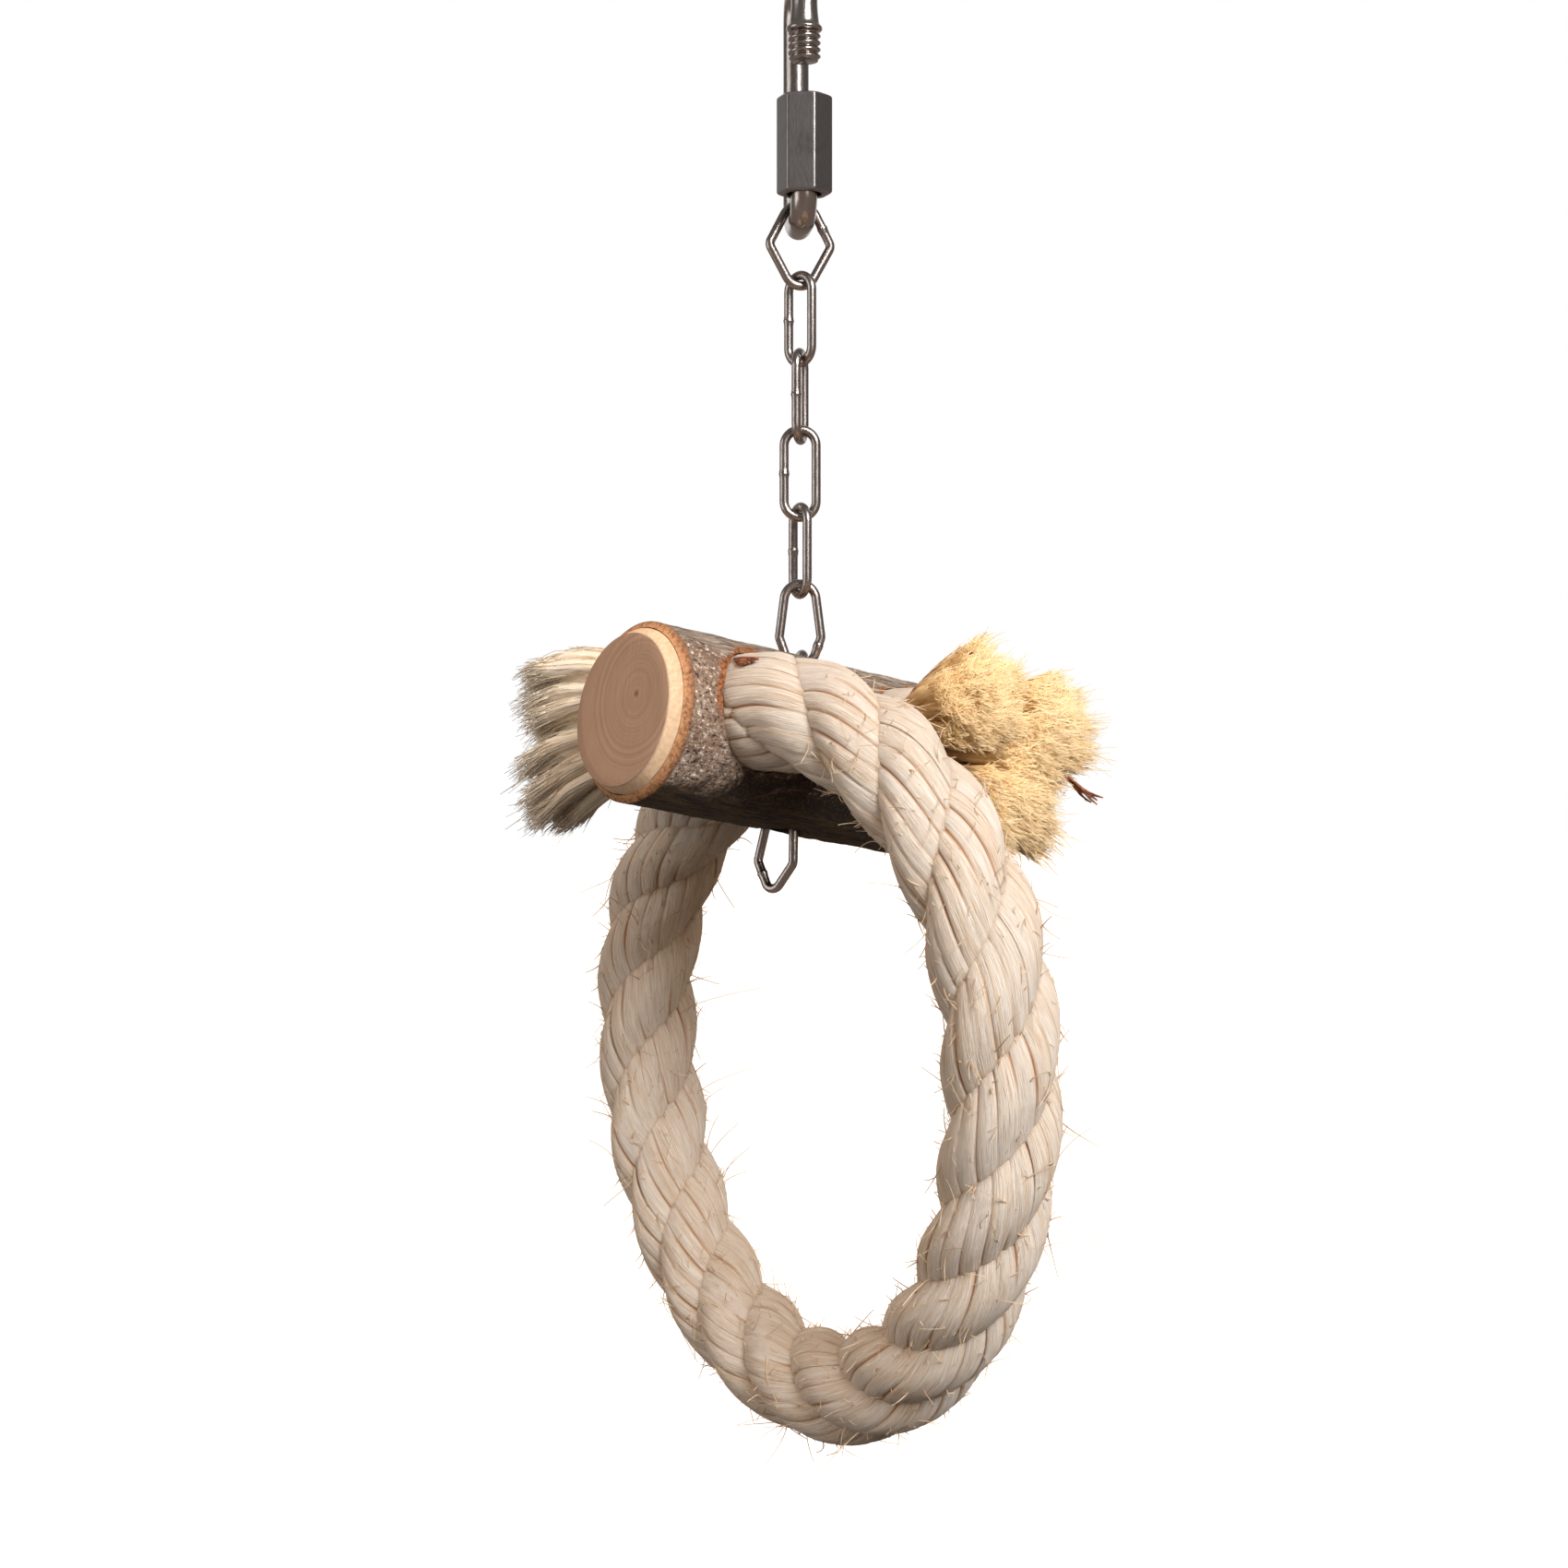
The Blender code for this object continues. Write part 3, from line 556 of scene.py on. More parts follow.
def bark_material():
    """Mottled bark: specked grey, streaked on top, darker below with painted shade that is partly
    the bark's own stain, near-black painted shade along its underside, torn to orange at its edges.
    """
    material, shader = new_material("bark", {"Roughness": 0.88})
    place = branch_place(shader)
    x, _, z = parts_of(place)
    patch = grain(place, 80.0, 4.0, 0.6)
    crust = grain(place, 1100.0, 3.0, 0.7)
    specks = grain(place, 900.0, 2.0, 0.6)
    streaks = grain(stretched(place, (120, 900, 900)), 1.0, 4.0, 0.6, 0.4)
    stain_and_shade_noise = grain(place, 60.0, 3.0, 0.65, 1.5)
    grey = ramp(patch, (0.3, 118, 94, 77), (0.48, 154, 129, 109), (0.68, 188, 167, 149))
    crusted = mix(level(crust, 0.5, 0.38), grey, colour(118, 96, 82))
    flecked = mix(level(specks, 0.57, 0.7), crusted, colour(236, 226, 216))
    pocked = mix(level(specks, 0.42, 0.34), flecked, colour(70, 53, 48))
    ridge = ramp(streaks, (0.36, 78, 68, 60), (0.5, 142, 128, 116), (0.66, 196, 184, 170))
    upper = swayed(z, patch, 0.03)
    topped = mix(level(upper, *TOP_STREAKS), pocked, ridge)
    # painted shade, partly the bark's own stain: dark brown to near black below the axis, reaching
    # higher towards +x
    dark = ramp(crust, (0.44, 20, 12, 7), (0.58, 56, 39, 23), (0.7, 110, 86, 58))
    sloped = calculate("ADD", z, calculate("MULTIPLY", x, BARK_STAIN_AND_SHADE_SLOPE))
    lower = swayed(sloped, stain_and_shade_noise, 0.04)
    based = mix(level(lower, *LOW_STAIN_AND_SHADE), topped, dark)
    # painted shade: near-black streaks along the underside
    painted_shade_stripe = ramp(streaks, (0.42, 26, 19, 12), (0.6, 96, 78, 50))
    foot = swayed(z, patch, 0.008)
    striped = mix(level(foot, *FOOT_SHADE_STRIPES), based, painted_shade_stripe)
    rim = swayed(bore_distance(x, z), patch, 0.014)
    torn = ramp(crust, (0.36, 84, 45, 24), (0.5, 142, 84, 44), (0.64, 190, 130, 78))
    split = calculate("MULTIPLY", level(rim, *TORN_REACH), level(z, *TORN_HEIGHTS))
    opened = mix(split, striped, torn)
    outer_end = BRANCH_HALF_LENGTH - END_BEVEL_LENGTH
    end = swayed(calculate("ABSOLUTE", x), crust, 0.003)
    rind = level(end, outer_end - BARK_EDGE, outer_end + BARK_EDGE)
    edge = ramp(rind, (0.3, 96, 66, 46), (0.5, 150, 102, 68), (0.95, 206, 152, 108))
    rough = tinted(level(specks, 0.52, 0.36), edge, colour(92, 56, 34), 0.6)
    edged = mix(level(rind, 0.2, 0.5), opened, rough)
    fill(shader, {"Base Color": edged})
    flat = (0.5, 0.5, 0.5, 1.0)
    below = relief(shader, mix(rind, streaks, flat), BARK_STREAK_BUMP)
    relief(shader, mix(rind, crust, flat), BARK_CRUST_BUMP, below)
    return material


def brown_material():
    """Red-brown bits of inner bark."""
    material, shader = new_material("inner_bark", {"Roughness": 0.7})
    patch = grain(object_place(shader), 900.0)
    tint = ramp(patch, (0.35, 86, 44, 28), (0.65, 176, 110, 74))
    fill(shader, {"Base Color": tint})
    return material


# Wire work


def belt(circles):
    """The closed line anticlockwise round circles (x, z, radius), and each run's middle."""
    normals = []
    for here, there in zip(circles, circles[1:] + circles[:1]):
        away = Vector((there[0] - here[0], there[1] - here[1]))
        lean = acos((here[2] - there[2]) / away.length)
        normals.append(atan2(away.y, away.x) - lean)
    line = []
    middles = []
    for index, (x, z, radius) in enumerate(circles):
        start = normals[index - 1]
        turn = (normals[index] - start) % tau
        count = max(1, ceil(turn / ARC_STEP))
        angles = [start + turn * part / count for part in range(count + 1)]
        line += [Vector((x + radius * cos(a), 0, z + radius * sin(a))) for a in angles]
        following = circles[(index + 1) % len(circles)]
        leave = Vector((cos(normals[index]), 0, sin(normals[index])))
        begin = Vector((x, 0, z)) + leave * radius
        end = Vector((following[0], 0, following[1])) + leave * following[2]
        middles.append((len(line), (begin + end) / 2, (end - begin).normalized()))
    return line, middles


def wire_rows(centres, alongs, radii, sides):
    """Points round a wire in the XZ plane, in a row at each centre. Radii may vary round it."""
    alongs = np.asarray(alongs)
    across = np.stack((alongs[:, 2], np.zeros(len(alongs)), -alongs[:, 0]), axis=-1)
    angles = tau * (np.arange(sides)[:, None] + 0.5) / sides
    spokes = np.cos(angles) * across[:, None] + np.sin(angles) * (0.0, 1.0, 0.0)
    return np.asarray(centres)[:, None] + np.asarray(radii).reshape(len(alongs), -1, 1) * spokes


def placed(points, turn, place):
    return points.reshape(-1, 3) @ np.array(turn).T + np.array(place)


def link_circles(inner_length, hook_radius, width=None, shoulder=None, foot=LINK_BEND):
    """Circles that a link's centre line runs round, with its hook's centre at the origin."""
    top = hook_radius + GAP
    crown = max(LINK_BEND, top + WIRE_RADIUS)
    bottom = top - inner_length
    upper = (0, top + WIRE_RADIUS - crown, crown)
    lower = (0, bottom - WIRE_RADIUS + foot, foot)
    if width is None:
        return [upper, lower]
    reach, height = width / 2 - WIRE_RADIUS - OPENED_BEND, top - shoulder
    return [upper, (-reach, height, OPENED_BEND), lower, (reach, height, OPENED_BEND)]


def chain_link(index, circles, material, body, turn, place):
    """A link of round wire, with the bead of its weld on one run."""
    line, middles = belt(circles)
    radii = [WIRE_RADIUS] * len(line)
    spot, middle, along = middles[WELD_RUNS[index]]
    for share in np.linspace(1, -1, WELD_ROWS):
        bead = exp(-((share * 2.2) ** 2)) * (1 + 0.25 * sin(share * 9 + index))
        line.insert(spot, middle + along * WELD_LENGTH * share)
        radii.insert(spot, WIRE_RADIUS * (1 + WELD_SWELL * bead))
    alongs = [(line[(i + 1) % len(line)] - line[i - 1]).normalized() for i in range(len(line))]
    points = placed(wire_rows(line, alongs, radii, WIRE_SIDES), turn, place)
    faces = grid_faces(len(line), WIRE_SIDES, closed_rows=True)
    node_name = f"chain_link_{index + 1}"
    add_piece(f"link_{index + 1}_wire", points, faces, material, body, [node_name])


def chain(material):
    """Six links down to the branch and three along its bore, each hung from the one above."""
    hook = QUICK_LINK_ROD / 2
    place = Vector((0, 0, -QUICK_LINK_INNER_LENGTH - hook))
    spin = QUICK_LINK_TURN
    shapes = [(LINK_INNER_LENGTH,)] * UPPER_LINKS + [(HIDDEN_LINK_LENGTH,)] * 2
    stop = (OPENED_INNER_LENGTH, STOP_LINK_WIDTH, STOP_LINK_SHOULDER)
    shapes.append((*stop, FOOT_BEND))
    shapes[0] = (OPENED_INNER_LENGTH, TOP_LINK_WIDTH, TOP_LINK_SHOULDER)
    shapes[UPPER_LINKS - 1] = stop
    for index, shape in enumerate(shapes):
        spin += LINK_TURNS[index]
        upper = index < UPPER_LINKS
        turn = Matrix.Rotation(spin, 3, "Z")
        lean = Matrix.Identity(3) if upper else TILT
        body = f"link_{index + 1}" if upper else "swing"
        circles = link_circles(shape[0], hook, *shape[1:])
        chain_link(index, circles, material, body, lean @ turn, place)
        place = place - lean @ Vector((0, 0, shape[0] - hook - GAP + WIRE_RADIUS))
        hook = WIRE_RADIUS


# Quick link


def thread_rows(bottom, top):
    """Heights and radii of a right-hand thread, chamfered at both ends."""
    heights = np.arange(bottom, top, THREAD_ROW)
    angles = (np.arange(ROD_SIDES) + 0.5) / ROD_SIDES
    phase = np.mod(heights[:, None] / THREAD_PITCH - angles, 1)
    groove = np.clip((np.abs(2 * phase - 1) - 0.2) / 0.8, 0, 1)
    end = np.minimum(heights - bottom, top - heights)[:, None]
    radii = THREAD_DIAMETER / 2 - THREAD_DEPTH * groove
    return heights, np.minimum(radii, THREAD_DIAMETER / 2 - THREAD_DEPTH + end)


def quick_link(material):
    """The bent rod with its collar and its two threaded ends."""
    rod = QUICK_LINK_ROD / 2
    limb = QUICK_LINK_LIMB
    near, far = limb - QUICK_LINK_BEND, QUICK_LINK_BEND - limb
    high, low = rod - QUICK_LINK_BEND, -QUICK_LINK_INNER_LENGTH - rod + QUICK_LINK_BEND
    collar_top = -MOUTH_TOP_DROP
    collar_bottom = collar_top - COLLAR_HEIGHT
    swell = np.sin(np.linspace(0.15, pi - 0.3, COLLAR_ROWS)) ** 0.5
    collar_radii = NECK_DIAMETER / 2 + (COLLAR_DIAMETER - NECK_DIAMETER) / 2 * swell
    neck = np.linspace(0, 1, COLLAR_ROWS)[1:]
    neck_heights = collar_top + neck * (high - collar_top) * 0.98
    neck_radii = rod + (NECK_DIAMETER / 2 - rod) * (1 - neck) ** 1.6
    centres, alongs, sizes = [], [], []

    def add_straight(heights, radii):
        centres.extend((limb, 0, height) for height in heights)
        alongs.extend([(0, 0, 1)] * len(heights))
        sizes.extend(np.broadcast_to(radii, (len(heights), ROD_SIDES)))

    add_straight(*thread_rows(collar_bottom - UPPER_THREAD_LENGTH, collar_bottom))
    add_straight(np.linspace(collar_bottom, collar_top, COLLAR_ROWS), collar_radii[:, None])
    add_straight(neck_heights, neck_radii[:, None])
    for quarter, (x, z) in enumerate(((near, high), (far, high), (far, low), (near, low))):
        for angle in np.linspace(0, pi / 2, BEND_ROWS) + quarter * pi / 2:
            cosine, sine = cos(angle), sin(angle)
            centres.append((x + QUICK_LINK_BEND * cosine, 0, z + QUICK_LINK_BEND * sine))
            alongs.append((-sine, 0, cosine))
            sizes.append(np.full(ROD_SIDES, rod))
    add_straight(*thread_rows(low + GAP, NUT_TOP - STUB_BELOW_NUT_TOP))
    points = placed(wire_rows(centres, alongs, sizes, ROD_SIDES), SWIVEL, (0, 0, 0))
    faces = tube_faces(len(centres), ROD_SIDES)
    nodes = ["quick_link_body"]
    add_piece("quick_link_rod", points, faces, material, "quick_link", nodes)


def quick_link_nut(material):
    """The long hexagonal nut, with rounded edges and turned chamfers at its ends."""
    flat = NUT_ACROSS_FLATS / 2
    angles = even_angles(NUT_COLUMNS)
    faces_at = tau / 6 * (np.arange(6) + 0.5)
    facing = np.clip(np.cos(angles[:, None] - faces_at), 0, None)
    hexagon = flat / np.sum(facing**NUT_SHARPNESS, axis=1) ** (1 / NUT_SHARPNESS)
    spare = hexagon.max() - flat
    rows = []
    for share in np.linspace(0, 1, NUT_CHAMFER_ROWS):
        bevel = flat + spare * (0.35 + 0.65 * sqrt(1 - (1 - share) ** 2))
        inset = NUT_END_INSET * (1 - share) ** 3
        rows.append((share * NUT_CHAMFER, np.minimum(hexagon, bevel) - inset))
    eye = np.full(NUT_COLUMNS, THREAD_DIAMETER / 2 + GAP)
    upper = [(NUT_LENGTH - depth, radii) for depth, radii in rows]
    levels = [(NUT_LENGTH, eye), *upper, *rows[::-1], (0, eye)]
    circle = on_circle(angles)
    rings = [at_height(radii[:, None] * circle, height - NUT_LENGTH) for height, radii in levels]
    turn = SWIVEL @ Matrix.Rotation(NUT_TURN, 3, "Z")
    points = placed(np.array(rings), turn, SWIVEL @ Vector((QUICK_LINK_LIMB, 0, NUT_TOP)))
    faces = [face[::-1] for face in grid_faces(len(levels), NUT_COLUMNS, closed_rows=True)]
    add_piece("hexagonal_nut", points, faces, material, "nut", ["quick_link_nut"])


# Branch


def turned(rows):
    """Points about the branch's own axis at (x, radius) rows, in the branch's own axes."""
    circle = on_circle(even_angles(BRANCH_COLUMNS))
    return np.roll([at_height(radius * circle, x) for x, radius in rows], 1, axis=-1)


def bored(piece, raggedness=0.0):
    """Cuts the chain's bore and both bores of the rope, which may be ragged, through a piece."""
    along = TILT @ Vector((BORE_OFFSET, 0, 0))
    level_turn = Matrix.Rotation(pi / 2, 4, "X")
    bores = (
        (CHAIN_BORE / 2, 0.0, BRANCH_CENTRE, TILT.to_4x4()),
        (ROPE_BORE / 2, raggedness, BORE_CENTRE - along, level_turn),
        (ROPE_BORE / 2, raggedness, BORE_CENTRE + along, level_turn),
    )
    angles = even_angles(BORE_COLUMNS)
    teeth = np.sin(3 * angles + 1) + 0.7 * np.sin(7 * angles) + 0.5 * np.sin(13 * angles + 2)
    cutters = []
    for radius, depth, place, turn in bores:
        circle = (radius + depth * teeth / 2)[:, None] * on_circle(angles)
        ends = [at_height(circle, height) for height in (-BORE_REACH, BORE_REACH)]
        mesh = bpy.data.meshes.new("bore")
        mesh.from_pydata(np.concatenate(ends).tolist(), [], tube_faces(2, BORE_COLUMNS))
        cutter = add_object("bore", mesh)
        cutter.matrix_world = Matrix.Translation(place) @ turn
        cut = piece.modifiers.new("bore", "BOOLEAN")
        cut.object = cutter
        cut.solver = "EXACT"
        cutters.append(cutter)
    bpy.context.view_layer.update()
    whole = piece.evaluated_get(bpy.context.evaluated_depsgraph_get())
    mesh = bpy.data.meshes.new_from_object(whole)
    piece.modifiers.clear()
    piece.data = mesh
    for cutter in cutters:
        bpy.data.objects.remove(cutter)


def branch(sawn_look, bark_look):
    """The sawn wood with its bevelled ends, and the uneven bark round it."""
    half = BRANCH_HALF_LENGTH
    slope = END_BEVEL_LENGTH / END_BEVEL_DEPTH
    face = BRANCH_RADIUS - END_BEVEL_DEPTH
    wood_radius = BRANCH_RADIUS - BARK_THICKNESS - GAP
    shoulder = half - (wood_radius - face) * slope
    radii = np.linspace(FACE_MIDDLE, FACE_RADIUS - FACE_ROUNDING, FACE_ROWS)
    sawn = [(half, radius) for radius in radii]
    sawn += [(half - FACE_STEP, FACE_RADIUS - FACE_STEP), (half - FACE_ROUNDING, FACE_RADIUS)]
    rows = sawn + [(shoulder, wood_radius)]
    rows = [(-x, radius) for x, radius in rows] + rows[::-1]
    points = turned(rows)
    points[: len(sawn), :, 1] += FACE_OFFSET
    points[-len(sawn) :, :, 1] += FACE_OFFSET
    points = placed(points, TILT, BRANCH_CENTRE)
    faces = tube_faces(len(rows), BRANCH_COLUMNS)
    wood = add_piece("wood", points, faces, sawn_look, "swing", ["branch_wood"])
    bored(wood)

    inner = BRANCH_RADIUS - BARK_THICKNESS
    inner_end = half - (inner - face) * slope
    outer = BRANCH_RADIUS - BARK_SINK
    outer_end = half - (outer - face) * slope
    rows = [(x, outer) for x in np.linspace(-outer_end, outer_end, BARK_ROWS)]
    rows += [(x, inner) for x in np.linspace(inner_end, -inner_end, BARK_INNER_ROWS)]
    points = turned(rows)
    for point in points[:BARK_ROWS].reshape(-1, 3):
        place = Vector(point)
        ridges = noise.noise(Vector((place.x * 60, place.y * 420, place.z * 420)))
        lumps = noise.noise(place * 170)
        crust = noise.noise(place * 700)
        swell = 0.5 * lumps + 0.35 * ridges + 0.3 * crust
        inside = min(1, (outer_end - abs(place.x)) / BARK_EDGE)
        point[1:] *= 1 + BARK_RELIEF * swell * inside / outer
    points = placed(points, TILT, BRANCH_CENTRE)
    faces = grid_faces(len(rows), BRANCH_COLUMNS, closed_rows=True)
    bark = add_piece("bark", points, faces, bark_look, "swing", ["branch_bark"])
    bored(bark, BORE_RAGGEDNESS)


# Rope


def rope_route():
    """The rope's middle line: through the near bore, round the ring, through the far bore."""
    along = np.array(TILT @ Vector((BORE_OFFSET, 0, 0)))
    bore_end = BRANCH_RADIUS + ROPE_CLEARANCE
    turn = np.linspace(0, pi / 2, RING_SAMPLES + 1)
    sine, cosine = np.sin(turn), np.cos(turn)
    wide = RING_HALF_WIDTH - bore_end
    low = RING_DROP - RING_SHOULDER_DROP
    y = np.concatenate((-bore_end - wide * sine, -RING_HALF_WIDTH * cosine[1:]))
    z = np.concatenate((RING_SHOULDER_DROP * (cosine - 1), -RING_SHOULDER_DROP - low * sine[1:]))
    y = np.concatenate((y, -y[-2::-1]))
    z = np.concatenate((z, z[-2::-1]))
    lengths = np.concatenate(([0], np.cumsum(np.hypot(np.diff(y), np.diff(z)))))
    share = tau * lengths / lengths[-1]
    drift = (share - RING_EASE * np.sin(share)) / pi - 1
    ring = np.stack((-z * tan(RING_LEAN), y, z), axis=-1) + drift[:, None] * along
    end = np.array((0, BRANCH_RADIUS + ROPE_STANDOFF, 0))
    return np.concatenate(([end - along], ring, [along - end])) + np.array(BORE_CENTRE)


def even_line(route):
    """Places, directions and lengths at even steps along a route."""
    steps = np.linalg.norm(np.diff(route, axis=0), axis=1)
    lengths = np.concatenate(([0], np.cumsum(steps)))
    even = np.linspace(0, lengths[-1], ROPE_ROWS)
    places = np.stack([np.interp(even, lengths, route[:, i]) for i in range(3)], axis=-1)
    return places, unit(np.gradient(places, axis=0)), even


def rope_axes(directions):
    """Two axes across the rope at each place, which keep the same sense all along it."""
    side = np.array((1.0, 0.0, 0.0))
    across = unit(side - directions * (directions @ side)[..., None])
    return across, np.cross(directions, across)


def rope_reach(turn, length):
    """Distance from the rope's middle to the strands, less their yarns, at angles round it."""
    third = tau / STRANDS
    local = turn - tau * length / ROPE_LAY
    angle = local - third * np.round(local / third)
    aside = STRAND_LIFT * np.sin(angle)
    return STRAND_LIFT * np.cos(angle) + np.sqrt(STRAND_RADIUS**2 - aside**2)


def waves(draw, count, length, slow, fast):
    """Values from 0 to 1 that rise and fall along the length, each in its own way."""
    pace = draw.uniform(slow, fast, (2, count))
    start = draw.uniform(0, tau, (2, count))
    both = np.sin(length[:, None, None] * pace + start)
    return np.clip(0.5 + 0.6 * (0.6 * both[:, 0] + 0.4 * both[:, 1]), 0, 1)


def strand(number, line, axes):
    """Points, faces and marks of a strand: a bundle of yarns, twisted against the rope's lay.

    The columns follow the yarns, so that the creases between yarns are clean lines. The strand
    swells to a rounder rope in the bores, and its ends are rounded.
    """
    places, _, lengths = line
    across, up = axes
    draw = np.random.default_rng(STRAND_SEED + number)
    stops = np.tile(YARN_STOPS, YARNS)
    yarn = np.repeat(np.arange(YARNS), len(YARN_STOPS))
    side = 2 * stops - 1
    crease = waves(draw, YARNS, lengths, 60, 190)[:, np.where(side > 0, yarn + 1, yarn) % YARNS]
    tone = waves(draw, YARNS, lengths, 20, 90)[:, yarn]
    crest = 1 - np.abs(side) ** 5 * (0.15 + 0.85 * crease)
    radius = STRAND_RADIUS + YARN_RELIEF * (crest - 0.3 * tone)
    lay = tau * (lengths / ROPE_LAY + number / STRANDS)
    reach = STRAND_LIFT + STRAND_RADIUS
    untwist = (tau / ROPE_LAY + tan(YARN_SLANT) / reach) * reach / STRAND_RADIUS
    wander = YARN_WANDER * np.sin(lengths * 95 + number * 2.1)
    turn = tau * (yarn + stops) / YARNS + (lay - untwist * lengths + wander)[:, None]
    flat = STRAND_LIFT * on_circle(lay)[:, None] + radius[..., None] * on_circle(turn)
    far = np.linalg.norm(flat, axis=-1)
    depth = np.minimum(lengths, lengths[-1] - lengths)
    squeeze = np.clip((BORE_SQUEEZE_END - depth) / BORE_SQUEEZE_EASE, 0, 1)[:, None]
    round_rope = rope_reach(np.arctan2(flat[..., 1], flat[..., 0]), lengths[:, None])
    bulge = BORE_SQUEEZE * squeeze * (ROPE_RADIUS / round_rope - 1)
    swollen = np.minimum(1 + bulge, (ROPE_RADIUS + ROPE_CLEARANCE / 2) / far)
    rounding = 1 - np.clip(depth / END_ROUNDING, 0, 1)
    flat *= swollen[..., None] * (0.5 + 0.5 * np.sqrt(1 - rounding**2))[:, None, None]
    points = places[:, None] + flat[..., :1] * across[:, None] + flat[..., 1:] * up[:, None]
    width = tau * STRAND_RADIUS / YARNS
    along = np.repeat(lengths[:, None], len(stops), axis=1)
    place = np.broadcast_to((yarn + stops) * width, along.shape)
    valley = rope_reach(pi / STRANDS, 0.0)
    crown = (far - valley) / (ROPE_RADIUS - valley)
    marks = np.stack((place, along, np.full_like(along, 0.3 * number), tone, crest, crown), axis=-1)
    return points.reshape(-1, 3), tube_faces(ROPE_ROWS, len(stops)), marks.reshape(-1, 6)


def rope(material):
    """The three strands as one piece, which rides on the swing and runs through the branch at both
    ends.
    """
    line = even_line(rope_route())
    places, directions, lengths = line
    axes = rope_axes(directions)
    points, faces, marks = joined(*[strand(number, line, axes) for number in range(STRANDS)])
    nodes = [f"rope_strand_{number + 1}" for number in range(STRANDS)]
    attributes = {"yarn_place": marks[:, :3], "yarn_form": marks[:, 3:]}
    piece = add_piece("rope", points, faces, material, "swing", nodes, attributes)
    return line


# Frayed ends and loose fibres

# A tuft's end of the rope's line, its size, the lie of its bunches, its fibres and its colours
Tuft = namedtuple(
    "Tuft",
    "end sense spins length spread droop bunches dome lean wave curl fibres pile soft tones",
)

BACK_TUFT = Tuft(
    end=0, sense=-1, spins=(0.0, 0.0, 0.0),
    length=BACK_TUFT_LENGTH, spread=0.03, droop=0.012,
    bunches=26, dome=0.14, lean=0.1, wave=0.06, curl=0.04,
    fibres=1200, pile=2200, soft=0.1,
    # painted light: the back tuft's tones are paler than the front tuft's to brighten it in the
    # branch's shadow; both are one sisal
    tones=((246, 222, 188), (255, 246, 228), (255, 252, 244)),
)
FRONT_TUFT = Tuft(
    end=-1, sense=1, spins=(radians(-21), radians(-32), radians(6)),
    length=FRONT_TUFT_LENGTH, spread=0.034, droop=0.002,
    bunches=34, dome=0.22, lean=0.14, wave=0.03, curl=0.05,
    fibres=1300, pile=3600, soft=0.7,
    tones=((240, 184, 108), (254, 225, 166), (255, 238, 198)),
)


def fibre_marks(tone, along, sides=3):
    """The mark of each point of fibres: the fibre's tone, and the step's place from root to tip."""
    tones = np.repeat(tone[:, None], along.shape[1], axis=1)
    marks = np.stack((tones, along, np.zeros_like(along)), axis=-1)
    return np.repeat(marks.reshape(-1, 3), sides, axis=0)


def lobe_bunches(draw, tuft):
    """Bunches in a frayed strand: places in its section of radius 1, reach, lean and phase."""
    count = tuft.bunches
    number = np.arange(count)
    turn = number * 2.4 + draw.uniform(-0.3, 0.3, count)
    far = 0.85 * np.sqrt((number + 0.5) / count)
    reach = draw.uniform(0.9, 1.0, count) - tuft.dome * far**2
    lean = tuft.lean * draw.standard_normal((count, 2))
    return far[:, None] * on_circle(turn), reach, lean, draw.uniform(0, tau, (count, 2))


def bunch_line(bunches, own, along, tuft):
    """The middle of bunches, which lean and wave more at larger shares of the strand's length."""
    middle, _, lean, phase = (item[own] for item in bunches)
    wavy = np.sin(9 * along[..., None] + phase[:, None])
    sway = lean[:, None] * along[..., None] + tuft.wave * wavy
    return middle[:, None] + sway * along[..., None]


def lobe_cores(at, draw, bunches, tuft):
    """The unravelled yarns inside a frayed strand, each thickest beyond its middle."""
    count = tuft.bunches
    angles = even_angles(CORE_COLUMNS)
    stem = np.linspace(TUFT_ROOT, CORE_SHOULDER, 7)
    tip = np.linspace(0.3, 1.5, 5)
    share = np.concatenate((stem, CORE_SHOULDER + CORE_DOME * np.sin(tip)))
    size = np.concatenate((np.linspace(0.92, 1, len(stem)), np.cos(tip))) / sqrt(count)
    along = share * bunches[1][:, None]
    lumps = 1 + 0.1 * draw.standard_normal((count, len(share), CORE_COLUMNS))
    axis = bunch_line(bunches, np.arange(count), along, tuft)
    offset = axis[:, :, None] + 0.94 * (size[:, None] * lumps)[..., None] * on_circle(angles)
    points = at(np.repeat(along[..., None], CORE_COLUMNS, axis=2), offset)
    faces = tube_faces(len(share), CORE_COLUMNS)
    tone = draw.uniform(0.3, 0.8, count)
    marks = fibre_marks(tone, along, CORE_COLUMNS).reshape(points.shape)
    marks[..., 2] = angles / tau
    cores = zip(points.reshape(count, -1, 3), marks.reshape(count, -1, 3))
    return joined(*[(core, faces, core_marks) for core, core_marks in cores])


